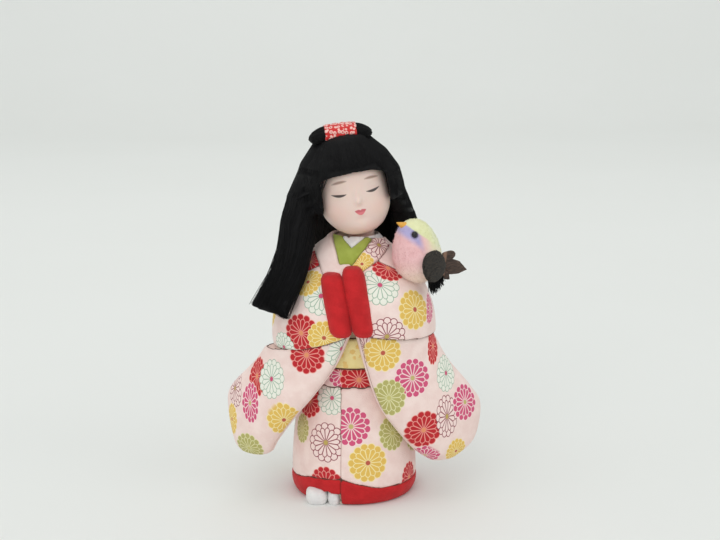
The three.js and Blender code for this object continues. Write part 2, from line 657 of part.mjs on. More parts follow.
const HEAD = [
  { z: -NECK_DEPTH, a: NECK_R, b: NECK_R },
  { z: 1, a: NECK_R, b: NECK_R },
  { z: CHIN_Z, a: CHEEK_A * 0.56, b: CHEEK_B * 0.55, y: -CHEEK_B * 0.178 },
  { z: CHIN_Z + 3, a: CHEEK_A * 0.75, b: CHEEK_B * 0.76, y: -CHEEK_B * 0.2 },
  { z: (CHIN_Z + CHEEK_Z) / 2, a: CHEEK_A * 0.94, b: CHEEK_B * 0.93, y: -CHEEK_B * 0.122 },
  { z: CHEEK_Z, a: CHEEK_A, b: CHEEK_B, y: -CHEEK_B * 0.033 },
  { z: (CHEEK_Z + SKULL_Z) / 2, a: CHEEK_A * 0.96, b: CHEEK_B * 0.98 },
  { z: SKULL_Z - 5, a: CHEEK_A * 0.72, b: CHEEK_B * 0.78, y: 0.5 },
  { z: SKULL_Z - 1.2, a: CHEEK_A * 0.38, b: CHEEK_B * 0.42, y: 1 },
  { z: SKULL_Z, a: CHEEK_A * 0.12, b: CHEEK_B * 0.12, y: 1 },
];
const headForm = (grow) => loft(HEAD, { grow, around: 20 });
const pegForm = (room) => rod(PEG_R + room, -NECK_DEPTH - PEG_IN_BODY + RUNNING - room, PEG_IN_HEAD + room);
const nose = ball(...NOSE, [0, -CHEEK_B - 0.2, CHEEK_Z - 0.6], 8, 6);
const headSolid = headForm(0).add(nose).subtract(pegForm(GLUE));
add("head", placed(headSolid, headFrame), "gofun");
add("neck_peg", placed(pegForm(0), headFrame), "wood");
const wrapTop = -NECK_DEPTH - GLUE;
const wrapLow = -NECK_DEPTH - PEG_IN_BODY + RUNNING;
const wrap = rod(PEG_R + RUNNING + WRAP_T, wrapLow, wrapTop).subtract(pegForm(RUNNING));
add("peg_wrap", placed(wrap, headFrame), "paper");

// Hair: a crown with a cut fringe, two side locks and a curtain at the back

const CROWN = [
  { z: HAIR_Z - 5, a: HAIR_A, b: HAIR_B, y: 1.5 },
  { z: HAIR_Z + 6, a: HAIR_A - 0.8, b: HAIR_B, y: 1 },
  { z: HAIR_TOP_Z - 14.5, a: HAIR_A - 3.7, b: HAIR_B - 1.5, x: -1.7, y: 0.5 },
  { z: HAIR_TOP_Z - 9, a: HAIR_A - 8.8, b: HAIR_B - 3.5, x: -1.4, y: 0.5 },
  { z: HAIR_TOP_Z - 4, a: HAIR_A * 0.46, b: HAIR_B * 0.65, x: LOOP_X, y: 0.5 },
  { z: HAIR_TOP_Z, a: HAIR_A / 8, b: HAIR_B / 7, x: LOOP_X, y: 0.5 },
];
const crownForm = (grow) => loft(CROWN, { grow });
const fringeRegion = (by) => {
  const [wide, narrow] = [FACE_A + 1 + by, FACE_A / 2 + by];
  const high = HAIR_TOP_Z - 0.5;
  const falls = [[0.5, 0.16], [0.8, 0.5], [1, 1]];
  const half = (name) =>
    falls.map(([x, share]) => [SIDES[name] * x * wide, FRINGE_Z - FRINGE_DROP[name] * share - by]);
  const edge = [...half("right").reverse(), [0, FRINGE_Z - by], ...half("left")];
  return frontCutter([...edge, [narrow, high], [-narrow, high]], -REACH, by - HAIR_B / 4);
};
const faceOpening = boxCutter(-FACE_A, FACE_A, -REACH, 0, -REACH, FRINGE_Z + 1);
const headRoom = headForm(GLUE);
const crown = crownForm(0).subtract(headRoom).subtract(faceOpening).subtract(fringeRegion(GLUE));
const fringe = crownForm(0.5).subtract(headRoom).intersect(fringeRegion(0));

// The roll on the crown: two loops of hair held by a tie
const rollFrame = new THREE.Group();
rollFrame.position.set(LOOP_X, LOOP_Y, HAIR_TOP_Z - LOOP_SUNK);
rollFrame.rotation.set(0, rad(LOOP_LEVEL), 0);
function loopForm(name, grow = 0) {
  const frame = new THREE.Group();
  const side = SIDES[name];
  frame.position.set(side * (LOOP_A + GLUE / 2), 0, 0);
  frame.rotation.set(0, side * rad(LOOP_DROOP), 0);
  const loop = placed(ball(LOOP_A + grow, LOOP_B + grow, LOOP_C + grow, [0, 0, 0]), frame);
  return placed(loop.intersect(sideCutter(name, 0, GLUE / 2 - grow)), rollFrame);
}
const rollRoom = loopForm("right", GLUE).add(loopForm("left", GLUE));
const tieRing = (grow) => {
  const made = ball(TIE_WIDTH * 1.3, LOOP_B + grow, LOOP_C + grow, [0, 0, 0], 12, 8);
  const width = TIE_WIDTH / 2;
  return placed(made.intersect(boxCutter(-width, width, -REACH, REACH, -REACH, REACH)), rollFrame);
};
const tie = tieRing(GLUE + TIE_T).subtract(tieRing(GLUE)).subtract(rollRoom).subtract(crownForm(-1.5));
const crownCut = crown.subtract(tieRing(2 * GLUE + TIE_T)).subtract(rollRoom);
add("crown_hair", placed(crownCut, headFrame), "hair");
add("fringe_hair", placed(fringe.subtract(tieRing(2 * GLUE + TIE_T)).subtract(rollRoom), headFrame), "hair");
for (const name of ["right", "left"]) {
  add(`${name}_hair_loop`, placed(loopForm(name).subtract(headRoom), headFrame), "hair");
}
add("hair_tie", placed(tie, headFrame), "kanoko");

// The hanging hair is drawn in the frame of the figure, from the cut tips up to the temples. A row is a
// share of that height, a place in shares of HAIR_A and HAIR_B, a half-width, a half-thickness and a turn.
const HANG = HEAD_AT[2] + SKULL_Z * (2 / 3) - HAIR_TIP_Z;
const hanging = (half, rows) =>
  rows.map(([up, x, y, a, b, turn]) => ({
    z: HAIR_TIP_Z + up * HANG,
    x: x * HAIR_A,
    y: y * HAIR_B,
    a: a * half,
    b: b * LOCK_T,
    turn,
  }));
const RIGHT_LOCK = hanging(LOCK_A, [
  [0, -1.67, -1.163, 1.17, 0.9, -33],
  [0.127, -1.51, -1.14, 1.13, 1, -36],
  [0.302, -1.263, -0.953, 1.06, 1.15, -40],
  [0.476, -1.12, -0.605, 1.02, 1.65, -52],
  [0.651, -1.05, -0.186, 1.25, 2.05, -74],
  [0.825, -0.97, 0.047, 1.41, 1.9, -88],
  [1, -0.85, 0.093, 1.3, 1.4, -90],
  [1.09, -0.8, 0.093, 0.9, 0.9, -90],
]);
const LEFT_LOCK = hanging(LOCK_A, [
  [0.032, 0.958, 1.186, 0.92, 0.95, -30],
  [0.222, 1, 1.07, 0.92, 1, -34],
  [0.397, 1, 0.814, 0.92, 1.23, -44],
  [0.54, 1, 0.535, 0.95, 1.46, -60],
  [0.667, 0.938, 0.326, 1.04, 1.49, -76],
  [0.825, 0.813, 0.163, 1.25, 1.38, -88],
  [1, 0.646, 0.093, 1.25, 1.13, -90],
]);
const CURTAIN = hanging(CURTAIN_A, [
  [0.016, -0.083, 1.465, 1, 0.92, 0],
  [0.175, -0.083, 1.395, 0.97, 1, 0],
  [0.349, 0.02, 1.209, 1.06, 1.1, 0],
  [0.524, 0.04, 1, 1.1, 1.23, 0],
  [0.714, 0.03, 0.814, 1.1, 1.33, 0],
  [0.905, -0.167, 0.674, 0.95, 1.41, 0],
  [1.032, -0.208, 0.488, 0.79, 1.31, 0],
]);

// The clothed chest as it lies about the head once the head has turned.
function chestFromHead(degrees) {
  headFrame.updateMatrix();
  const back = new THREE.Matrix4().makeRotationZ(-rad(degrees));
  const about = headFrame.matrix.clone().multiply(back).multiply(headFrame.matrix.clone().invert());
  return upperForm(COLLAR_PROUD + RUNNING).transform(about.toArray());
}
const hangingRoom = joined([
  placed(crownForm(GLUE).add(headForm(GLUE)), headFrame),
  upperForm(COLLAR_PROUD + HAIR_ROOM),
  ...HEAD_TURNS.map(chestFromHead),
]);
const slantFrom = -1.25 * HAIR_A;
const slantAt = (x) => [x, HAIR_TIP_Z + LOCK_SHORT + (slantFrom - x) * Math.tan(rad(LOCK_SLANT))];
const under = HAIR_TIP_Z - LOCK_A;
const slantCut = frontCutter([[-REACH, under], [0, under], slantAt(0), slantAt(-REACH)], -REACH, REACH);
const rightLock = loft(RIGHT_LOCK, { around: 16 }).subtract(hangingRoom).subtract(slantCut);
const leftLock = loft(LEFT_LOCK, { around: 16 }).subtract(hangingRoom);
const lockRoom = joined([RIGHT_LOCK, LEFT_LOCK].map((lock) => loft(lock, { grow: GLUE, around: 16 })));
const curtain = loft(CURTAIN).subtract(hangingRoom).subtract(lockRoom);
add("right_side_hair", rightLock, "hair");
add("left_side_hair", leftLock, "hair");
add("back_hair", curtain, "hair");

// Bird on its wire

const BIRD_PROFILE = [
  [0, -0.5],
  [0.3, -0.485],
  [0.62, -0.41],
  [0.92, -0.27],
  [1, -0.07],
  [0.91, 0.14],
  [0.73, 0.31],
  [0.51, 0.425],
  [0.25, 0.485],
  [0, 0.5],
];
function birdForm(grow) {
  const points = BIRD_PROFILE.map(([r, z]) => {
    const radius = r === 0 ? 0 : r * BIRD_R + grow;
    return new THREE.Vector2(radius, z * (BIRD_H + 2 * grow));
  });
  return solid(new THREE.LatheGeometry(points, 18).rotateX(Math.PI / 2));
}
const birdPlaced = (made) => placed(made, birdFrame);

const bothSides = { left: -1, right: 1 }; // the bird's own left is -Y in its frame
function wingForm(side, grow = 0) {
  const frame = new THREE.Group();
  frame.position.set(BIRD_R * 0.42, side * BIRD_R * 0.81, -BIRD_H * 0.215);
  frame.rotation.set(0, rad(-35), -side * rad(33), "ZYX");
  return placed(ball(WING_W / 2 + grow, WING_T + grow, WING_L / 2 + grow, [0, 0, 0]), frame);
}
function tailForm(grow = 0) {
  const [l, w] = [TAIL_L, TAIL_W / 2];
  const lower = [[0, -w / 2], [l * 0.35, -w], [l * 0.75, -w * 0.6]];
  const upper = [[l, 0], [l * 0.7, w * 0.7], [l * 0.3, w * 0.85], [0, w / 2]];
  const outline = [...lower, ...upper];
  const made = frontCutter(grown(outline, grow), -TAIL_T / 2 - grow, TAIL_T / 2 + grow);
  const frame = new THREE.Group();
  frame.position.set(BIRD_R * 0.82, BIRD_R * 0.14, -BIRD_H * 0.28);
  frame.rotation.set(0, rad(TAIL_DOWN), 0);
  return placed(made, frame);
}
function eyeForm(side, grow = 0) {
  const radius = BIRD_R * 0.725;
  const angle = rad(180 + BIRD_FACE - side * EYE_SPREAD);
  const at = [radius * Math.cos(angle), radius * Math.sin(angle), BIRD_H * 0.32];
  return ball(EYE_R + grow, EYE_R + grow, EYE_R + grow, at, 10, 6);
}
function beakForm(grow = 0) {
  const frame = new THREE.Group();
  const [face, radius] = [rad(180 + BIRD_FACE), BIRD_R * 0.4];
  frame.position.set(radius * Math.cos(face), radius * Math.sin(face), BIRD_H * 0.44);
  frame.rotation.set(0, -rad(BEAK_UP), face, "ZYX");
  const cone = new THREE.ConeGeometry(BEAK_R + grow, BEAK_L + 2 * grow, 10).rotateZ(-Math.PI / 2);
  return placed(solid(cone.translate(BEAK_L / 2 - 1, 0, 0)), frame);
}
const egg = birdForm(GLUE);
const wings = joined(Object.values(bothSides).map((side) => wingForm(side, GLUE)));
const eyeRoom = joined(Object.values(bothSides).map((side) => eyeForm(side, GLUE)));
const shoulderRoom = upperForm(COLLAR_PROUD + GLUE);
const birdBody = birdPlaced(birdForm(0).subtract(eyeRoom))
  .subtract(shoulderRoom)
  .subtract(wireForm(WIRE_R + GLUE, -WIRE_IN_BODY, WIRE_IN_BIRD + GLUE));
add("bird_body", birdBody, "down");
add("bird_beak", birdPlaced(beakForm().subtract(egg)), "beak");
for (const [name, side] of Object.entries(bothSides)) {
  add(`bird_${name}_eye`, birdPlaced(eyeForm(side)), "bead");
  add(`bird_${name}_wing`, birdPlaced(wingForm(side).subtract(egg)).subtract(shoulderRoom), "feather");
}
add("bird_tail", birdPlaced(tailForm().subtract(egg).subtract(wings)).subtract(shoulderRoom), "feather");
add("bird_wire", wireForm(WIRE_R, -WIRE_IN_BODY, WIRE_IN_BIRD), "wire");

export default doll;
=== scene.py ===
import random
from math import cos, exp, pi, radians, sin, sqrt

import bpy
import numpy as np
from mathutils import Matrix, Vector
from mathutils.bvhtree import BVHTree
from mathutils.kdtree import KDTree
from numpy.linalg import norm


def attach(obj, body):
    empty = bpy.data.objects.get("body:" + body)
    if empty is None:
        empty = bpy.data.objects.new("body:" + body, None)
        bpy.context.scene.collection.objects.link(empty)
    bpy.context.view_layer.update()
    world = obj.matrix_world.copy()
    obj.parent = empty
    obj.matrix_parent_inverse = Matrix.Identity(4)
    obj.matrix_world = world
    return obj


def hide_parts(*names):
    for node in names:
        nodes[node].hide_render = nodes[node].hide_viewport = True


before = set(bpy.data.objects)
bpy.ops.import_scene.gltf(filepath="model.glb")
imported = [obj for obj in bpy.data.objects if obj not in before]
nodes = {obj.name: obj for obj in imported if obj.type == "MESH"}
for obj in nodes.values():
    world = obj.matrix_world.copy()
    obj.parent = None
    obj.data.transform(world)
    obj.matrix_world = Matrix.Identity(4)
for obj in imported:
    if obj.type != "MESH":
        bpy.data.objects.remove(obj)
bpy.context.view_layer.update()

MM = 0.001
scene = bpy.context.scene
chance = random.Random(11)


def linked(name, data):
    """A new object in the scene."""
    made = bpy.data.objects.new(name, data)
    scene.collection.objects.link(made)
    return made


# Camera, at the photograph's angle, in metres

WIDE, HIGH = 720, 540
LENS, SENSOR = 75.0, 36.0
FOCAL_PIXELS = LENS / SENSOR * WIDE
ELEVATION = radians(12)
DISTANCE = 0.702
TARGET = Vector((0.0028, 0.0, 0.1057))
CAMERA_RIGHT = Vector((1, 0, 0))

camera = linked("camera", bpy.data.cameras.new("camera"))
camera.data.lens = LENS
camera.data.sensor_width = SENSOR
camera.location = TARGET + DISTANCE * Vector((0, -cos(ELEVATION), sin(ELEVATION)))
camera.rotation_euler = (pi / 2 - ELEVATION, 0, 0)
scene.camera = camera


def pixel_ray(px, py):
    """The direction in which the camera sees a pixel of the photograph."""
    aim = Vector(((px - WIDE / 2) / FOCAL_PIXELS, (HIGH / 2 - py) / FOCAL_PIXELS, -1))
    aim.rotate(camera.rotation_euler)
    return aim.normalized()


# Meshes

SMOOTHING = (0.5, -0.53)  # each round of smoothing draws a form in and lets it out again
FORM_SAMPLES = 600  # places at which the length of a form is measured
RING_WEIGHTS = (1, 0.7, 0.7)  # how much height and both half-widths count in the distance between rings


def make_object(name, points, faces):
    mesh = bpy.data.meshes.new(name)
    mesh.from_pydata(np.asarray(points, float).tolist(), [], [list(face) for face in faces])
    mesh.shade_smooth()
    return linked(name, mesh)


def read_points(mesh, kind="co"):
    flat = np.zeros(3 * len(mesh.vertices))
    mesh.vertices.foreach_get(kind, flat)
    return flat.reshape(-1, 3)


def write_points(mesh, points):
    mesh.vertices.foreach_set("co", np.asarray(points, np.float32).ravel())
    mesh.update()


def joined(objects):
    """Points and faces of some objects together, and which object each face belongs to."""
    points, faces, owner = [], [], []
    for k, piece in enumerate(objects):
        start = len(points)
        points += read_points(piece.data).tolist()
        faces += [[start + i for i in polygon.vertices] for polygon in piece.data.polygons]
        owner += [k] * len(piece.data.polygons)
    return points, faces, owner


def tree_of(*objects):
    """One search tree over the meshes of some objects."""
    points, faces, _ = joined(objects)
    return BVHTree.FromPolygons(points, faces)


def smoothed(points, edges, rounds):
    """Rounds off facets without shrinking the form."""
    a, b = edges[:, 0], edges[:, 1]
    count = len(points)
    degree = np.maximum(np.bincount(edges.ravel(), minlength=count), 1)
    for factor in SMOOTHING * rounds:
        total = np.empty_like(points)
        for k in range(3):
            total[:, k] = np.bincount(a, points[b, k], count) + np.bincount(b, points[a, k], count)
        points = points + factor * (total / degree[:, None] - points)
    return points


def soft_copy(name, names, voxel, rounds):
    """A rounded piece in the shape of some CAD nodes."""
    points, faces, _ = joined([nodes[node] for node in names])
    rough = make_object(name + "_rough", points, faces)
    remesh = rough.modifiers.new("remesh", "REMESH")
    remesh.mode = "VOXEL"
    remesh.voxel_size = voxel * MM
    mesh = bpy.data.meshes.new_from_object(rough.evaluated_get(bpy.context.evaluated_depsgraph_get()))
    bpy.data.objects.remove(rough)
    edges = np.zeros(2 * len(mesh.edges), int)
    mesh.edges.foreach_get("vertices", edges)
    write_points(mesh, smoothed(read_points(mesh), edges.reshape(-1, 2), rounds))
    mesh.shade_smooth()
    mesh.materials.clear()
    return linked(name, mesh)


def spline(rows, t):
    """Catmull-Rom through evenly spaced rows of numbers, at each share t of the way."""
    rows = np.asarray(rows, float)
    last = len(rows) - 1
    place = last * np.asarray(t)
    i = np.minimum(place.astype(int), last)
    w = (place - i)[:, None]
    before = rows[np.maximum(i - 1, 0)]
    here = rows[i]
    after = rows[np.minimum(i + 1, last)]
    beyond = rows[np.minimum(i + 2, last)]
    v0 = (after - before) / 2
    v1 = (beyond - here) / 2
    cubic = 2 * here - 2 * after + v0 + v1
    square = -3 * here + 3 * after - 2 * v0 - v1
    return ((cubic * w + square) * w + v0) * w + here


def form_grid(rows, step):
    """A closed form through level sections (z, a, b, x, y, turn, power), as rings of points in metres.

    The rings are about one step apart, and so are the points of the widest ring."""
    fine = spline(rows, np.linspace(0, 1, FORM_SAMPLES))
    moves = norm(np.diff(fine[:, :3] * RING_WEIGHTS, axis=0), axis=1)
    travelled = np.concatenate([[0], np.cumsum(moves)])
    rings = int(travelled[-1] / step) + 1
    shares = np.interp(np.linspace(0, travelled[-1], rings), travelled, np.linspace(0, 1, FORM_SAMPLES))
    z, a, b, x, y, turn, power = spline(rows, shares).T[:, :, None]
    girth = 2 * pi * sqrt(float(np.max(a)) ** 2 / 2 + float(np.max(b)) ** 2 / 2)
    angle = np.linspace(0, 2 * pi, int(girth / step) + 1)[None, :-1]
    c, s = np.cos(angle), np.sin(angle)
    u = np.sign(c) * np.abs(c) ** (2 / power) * a
    v = np.sign(s) * np.abs(s) ** (2 / power) * b
    turn = np.radians(turn)
    across = x + u * np.cos(turn) - v * np.sin(turn)
    deep = y + u * np.sin(turn) + v * np.cos(turn)
    return np.stack([across, deep, np.broadcast_to(z, across.shape)], axis=-1) * MM


def grid_normals(grid):
    around = np.roll(grid, -1, 1) - np.roll(grid, 1, 1)
    up = np.gradient(grid, axis=0)
    normal = np.cross(around, up)
    return normal / np.maximum(norm(normal, axis=-1, keepdims=True), 1e-12)


def grid_faces(rings, around, closed=True):
    """The faces between rings of points, which close on themselves or end at an edge."""
    i, j = np.meshgrid(np.arange(rings - 1), np.arange(around if closed else around - 1), indexing="ij")
    k = (j + 1) % around
    corners = [i * around + j, i * around + k, (i + 1) * around + k, (i + 1) * around + j]
    return np.stack(corners, axis=-1).reshape(-1, 4)


# Materials


def colour(red, green, blue):
    """A colour read from the photograph as 0 to 255, in the numbers that a shader takes."""
    parts = [c / 255 for c in (red, green, blue)]
    return tuple(c / 12.92 if c < 0.04045 else ((c + 0.055) / 1.055) ** 2.4 for c in parts) + (1.0,)


class Value:
    """A number, colour or vector in a shader tree, with arithmetic that adds nodes to the tree."""

    def __init__(self, tree, socket):
        self.tree = tree
        self.socket = socket

    def __add__(self, other):
        return self.tree.math("ADD", self, other)

    def __sub__(self, other):
        return self.tree.math("SUBTRACT", self, other)

    def __rsub__(self, other):
        return self.tree.math("SUBTRACT", other, self)

    def __mul__(self, other):
        if isinstance(other, tuple):
            return self.tree.vector("MULTIPLY", self, other)
        return self.tree.math("MULTIPLY", self, other)

    def __truediv__(self, other):
        return self.tree.math("DIVIDE", self, other)

    def __abs__(self):
        return self.tree.math("ABSOLUTE", self)


class Tree:
    """Short calls that add nodes to a shader tree and join them up."""

    def __init__(self, tree):
        self.nodes = tree.nodes
        self.links = tree.links

    def put(self, socket, value):
        if isinstance(value, Value):
            self.links.new(value.socket, socket)
        else:
            socket.default_value = value

    def add(self, kind, output, inputs=None, **settings):
        """The named output of a new node."""
        node = self.nodes.new(kind)
        for key, value in settings.items():
            setattr(node, key, value)
        for key, value in (inputs or {}).items():
            self.put(node.inputs[key], value)
        return Value(self, node.outputs[output])

    def math(self, operation, *values):
        return self.add("ShaderNodeMath", 0, dict(enumerate(values)), operation=operation)

    def length(self, a, b):
        return self.math("SQRT", a * a + b * b)

    def vector(self, operation, a, b=(0, 0, 0)):
        output = "Value" if operation == "DOT_PRODUCT" else "Vector"
        return self.add("ShaderNodeVectorMath", output, {0: a, 1: b}, operation=operation)

    def millimetres(self, place):
        """The three coordinates of a place."""
        scaled = place * (1 / MM, 1 / MM, 1 / MM)
        return [self.add("ShaderNodeSeparateXYZ", axis, {0: scaled}) for axis in "XYZ"]

    def mix(self, share, a, b):
        return self.add("ShaderNodeMix", 2, {0: share, 6: a, 7: b}, data_type="RGBA")

    def ramp(self, value, low, high):
        """0 below low and 1 above high, or the other way round if low is the larger."""
        ends = {"Value": value, "From Min": low, "From Max": high}
        return self.add("ShaderNodeMapRange", 0, ends, interpolation_type="SMOOTHSTEP")

    def noise(self, place, size, detail=3.0):
        """Soft random shades whose spots are about size millimetres across."""
        inputs = {"Vector": place, "Scale": 1 / (size * MM), "Detail": detail}
        return self.add("ShaderNodeTexNoise", "Fac", inputs)

    def cells(self, place, size, randomness=1.0):
        """The distance from the middles of cells that are about size millimetres across."""
        inputs = {"Vector": place, "Scale": 1 / (size * MM), "Randomness": randomness}
        return self.add("ShaderNodeTexVoronoi", "Distance", inputs)

    def edge(self):
        """How far a point lies from the edge of its cloth, in millimetres."""
        return self.add("ShaderNodeAttribute", "Fac", attribute_name="edge")

    def surface(self, shade, height, depth):
        """Colours a surface, and raises it by a height from 0 to 1 over depth millimetres."""
        shader = self.nodes["Principled BSDF"].inputs
        self.put(shader["Base Color"], shade)
        if depth:
            inputs = {"Height": height, "Distance": depth * MM, "Strength": 1.0}
            self.put(shader["Normal"], self.add("ShaderNodeBump", 0, inputs))


def new_material(name, **constants):
    """A material, its tree, and the place of a point in its piece's own frame."""
    made = bpy.data.materials.new(name)
    made.use_nodes = True
    tree = Tree(made.node_tree)
    for key, value in constants.items():
        tree.nodes["Principled BSDF"].inputs[key.replace("_", " ")].default_value = value
    return made, tree, tree.add("ShaderNodeTexCoord", "Object")


def grained(name, light, dark, roughness, size, depth=0.03):
    """A plain material with uneven colour and a fine grain."""
    made, tree, place = new_material(name, Roughness=roughness)
    grain = tree.noise(place, size)
    tree.surface(tree.mix(grain, light, dark), grain, depth)
    return made


def dress(piece, made, body, slot, *replaced):
    """Gives a piece its material and body, and hides the CAD nodes that it stands for. Its slot is not used.
    """
    piece.data.materials.append(made)
    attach(piece, body)
    if replaced:
        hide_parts(*replaced)
    return piece


# Painted shade in the grooves where the cloth's edges go down
GROOVE_SHADE = colour(104, 66, 54)
GROOVE_EDGE = (0.26, 0.04)  # painted groove shade darkens the cloth from the first of these distances from its edge to the second
THREADS = ((1, 1, 0.3), (0.3, 0.3, 1))  # how threads that run each way stretch the grain
THREAD_RISE = 0.14
DYE_SPOTS, DYE_RAMP = 6.0, (0.3, 0.7)
HOLLOW_SHADE_RAMP, HOLLOW_SHADE_SHARE = (0.2, 0.75), 0.12  # painted shade: cloth is a little darker in the hollows between its threads


def cloth(name, light, dark, thread=0.35, sheen=0.15, decorate=None, groove=1.0):
    """Crepe with uneven dye, crossed threads broken up by noise, and painted shade between threads and in
    grooves.
    """
    made, tree, place = new_material(name, Roughness=0.88, Sheen_Weight=sheen, Sheen_Roughness=0.45)
    ground = tree.mix(tree.ramp(tree.noise(place, DYE_SPOTS), *DYE_RAMP), dark, light)
    across, along = (tree.noise(place * stretch, thread, 1.0) for stretch in THREADS)
    height = (across + along) * tree.noise(place, thread * 1.6, 2.0)
    # painted shade in the hollows between threads
    ground = tree.mix(tree.ramp(height, *HOLLOW_SHADE_RAMP), tree.mix(HOLLOW_SHADE_SHARE, ground, dark), ground)
    if decorate:
        ground = decorate(tree, place, ground)
    # painted shade where the cloth goes down into its groove
    groove_shade = tree.ramp(tree.edge(), *GROOVE_EDGE) * groove
    tree.surface(tree.mix(groove_shade, ground, GROOVE_SHADE), height, THREAD_RISE)
    return made


# Chrysanthemum print: long petals over a ring of short round ones

PETALS = 14
FLOWER_R = 8.7
# Where a petal's round tip begins, how far it reaches on, and the share of its sector that it fills
LONG_PETAL = (0.60, 0.15, 0.95)
SHORT_PETAL = (0.86, 0.14, 1.0)
# A flower ends at these distances from its middle, from its plane, and at this tilt of the cloth
RIM, HEART_RIM, LINE_RIM = (1.15, 1.08), (0.15, 0.10), (1.06, 1.0)
OFF_PLANE = (0.46, 0.26)
TILT = (0.1, 0.3)
LINE_CORE = 0.45  # share of a line that has its full colour
SOFT = 0.01  # softness of a petal's outline
PLAIN_FADE = 0.2  # width over which a print fades at a plain rim
# Each kind's petals, lines and heart, and the width of its lines
KINDS = {
    "red": (colour(192, 28, 38), colour(240, 158, 148), colour(230, 150, 104), 0.026),
    "magenta": (colour(212, 84, 124), colour(248, 218, 216), colour(196, 182, 116), 0.032),
    "yellow": (colour(230, 190, 92), colour(248, 230, 170), colour(190, 90, 70), 0.028),
    "olive": (colour(182, 176, 106), colour(228, 224, 174), colour(198, 192, 118), 0.028),
    "pale": (colour(238, 238, 226), colour(158, 184, 162), colour(206, 80, 118), 0.024),
    "outline": (colour(246, 222, 216), colour(140, 44, 64), colour(190, 166, 90), 0.028),
}


def chrysanthemum_group():
    group = bpy.data.node_groups.new("chrysanthemum", "ShaderNodeTree")
    vectors = ["Place", "Centre", "East", "North", "Out"]
    sockets = [("Base", "Color"), *((name, "Vector") for name in vectors)]
    sockets += [("Fill", "Color"), ("Line", "Color"), ("Heart", "Color"), ("Width", "Float")]
    for name, kind in sockets:
        group.interface.new_socket(name, in_out="INPUT", socket_type="NodeSocket" + kind)
    group.interface.new_socket("Color", in_out="OUTPUT", socket_type="NodeSocketColor")
    tree = Tree(group)
    given = {socket.name: Value(tree, socket) for socket in tree.nodes.new("NodeGroupInput").outputs}
    offset = tree.vector("SUBTRACT", given["Place"], given["Centre"])
    east, north, outwards = (tree.vector("DOT_PRODUCT", offset, given[name]) for name in vectors[2:])
    radius = tree.length(east, north)
    sector = 2 * pi / PETALS
    turn = tree.math("ARCTAN2", north, east) / sector

    def petal(shift, tip, reach, share):
        """How far a point lies inside the nearest petal's outline, which widens outwards to a round tip."""
        slope = share * sector / 2
        aside = abs(tree.math("FRACT", turn + shift) - 0.5) * sector
        past = tree.math("MAXIMUM", radius - tip, 0.0) / reach
        rounded = 1.0 - tree.length(past, radius * aside / (tip * slope))
        return tree.math("MINIMUM", (slope - aside) * radius, rounded * min(reach, tip * slope))

    inner, outer = petal(0.0, *LONG_PETAL), petal(0.5, *SHORT_PETAL)
    normal = tree.add("ShaderNodeNewGeometry", "Normal")
    facing = tree.vector("DOT_PRODUCT", normal, tree.vector("NORMALIZE", given["Out"]))
    near = tree.ramp(abs(outwards), *OFF_PLANE) * tree.ramp(facing, *TILT) * tree.ramp(radius, *RIM)
    filled = tree.math("MAXIMUM", *(tree.ramp(petals, -SOFT, SOFT) for petals in (inner, outer)))
    width = given["Width"]
    inner_line, outer_line = (tree.ramp(abs(petals), width, width * LINE_CORE) for petals in (inner, outer))
    line = tree.math("MAXIMUM", inner_line, outer_line * tree.ramp(inner, 0.0, -2 * SOFT))
    line = line * tree.ramp(radius, *LINE_RIM)
    shade = given["Base"]
    for share, name in ((filled, "Fill"), (line, "Line"), (tree.ramp(radius, *HEART_RIM), "Heart")):
        shade = tree.mix(share * near, shade, given[name])
    tree.put(tree.nodes.new("NodeGroupOutput").inputs["Color"], shade)
    return group


CHRYSANTHEMUM = chrysanthemum_group()


def flower_at(point, outward, kind, radius, spin=0.0, narrow=1.0):
    """A flower's kind, centre and axes. A narrow one is squeezed from side to side as the camera sees it."""
    if narrow < 1:
        east = (CAMERA_RIGHT - outward * outward.dot(CAMERA_RIGHT)).normalized()
    else:
        east = outward.orthogonal().normalized()
        east.rotate(Matrix.Rotation(spin, 3, outward))
    scale = 1 / (radius * MM)
    return kind, point, east * scale / narrow, outward.cross(east) * scale, outward * scale


def printed(flowers, rim):
    """Decorates a cloth with flowers, and leaves a rim of the given width plain."""

    def decorate(tree, place, ground):
        plain = ground
        for kind, centre, east, north, out in flowers:
            fill, line, heart, width = KINDS[kind]
            inputs = {"Base": ground, "Place": place, "Centre": centre, "East": east, "North": north}
            inputs |= {"Out": out, "Fill": fill, "Line": line, "Heart": heart, "Width": width}
            ground = tree.add("ShaderNodeGroup", 0, inputs, node_tree=CHRYSANTHEMUM)
        return tree.mix(tree.ramp(tree.edge(), rim, rim + PLAIN_FADE), plain, ground)

    return decorate


# Cloth panels: each lies on one of the smooth main forms, and its edge rolls down into the groove round it

STEP = 0.5  # spacing of the points of a panel
TUCK = 0.8  # how deep an edge goes
ROLL = 0.85  # width over which it rolls down
BLUR = 3  # rounds of softening that smooth a panel's border
BEYOND = 0.35  # how far past the edge of its solid a panel may reach
OFF_FORM = 2.5  # and how far its solid may lie off the form
SLEEVE_TURN = 31
SLEEVE_OUT = 57.7
SLEEVE_TOP_OUT = 33
SLEEVE_B = 8
SLEEVE_Y = -15
SLEEVE_WIDE, SLEEVE_TOP = 42, 83
# Each sleeve's side, its lowest point, and from there up how far in from SLEEVE_OUT its edges lie
SLEEVES = {
    "right": (-1, 20, 46, (1.8, -0.6, 0.9, 14.2), (21.7, 30.7, 38.3, 49)),
    "left": (1, 17.2, 41, (1.2, -1.4, 4, 15.7), (31, 42, 47.3, 52.2)),
}


def section(z, a, b, x=0.0, y=0.0, turn=0.0, power=2.0):
    return (z, a, b, x, y, turn, power)


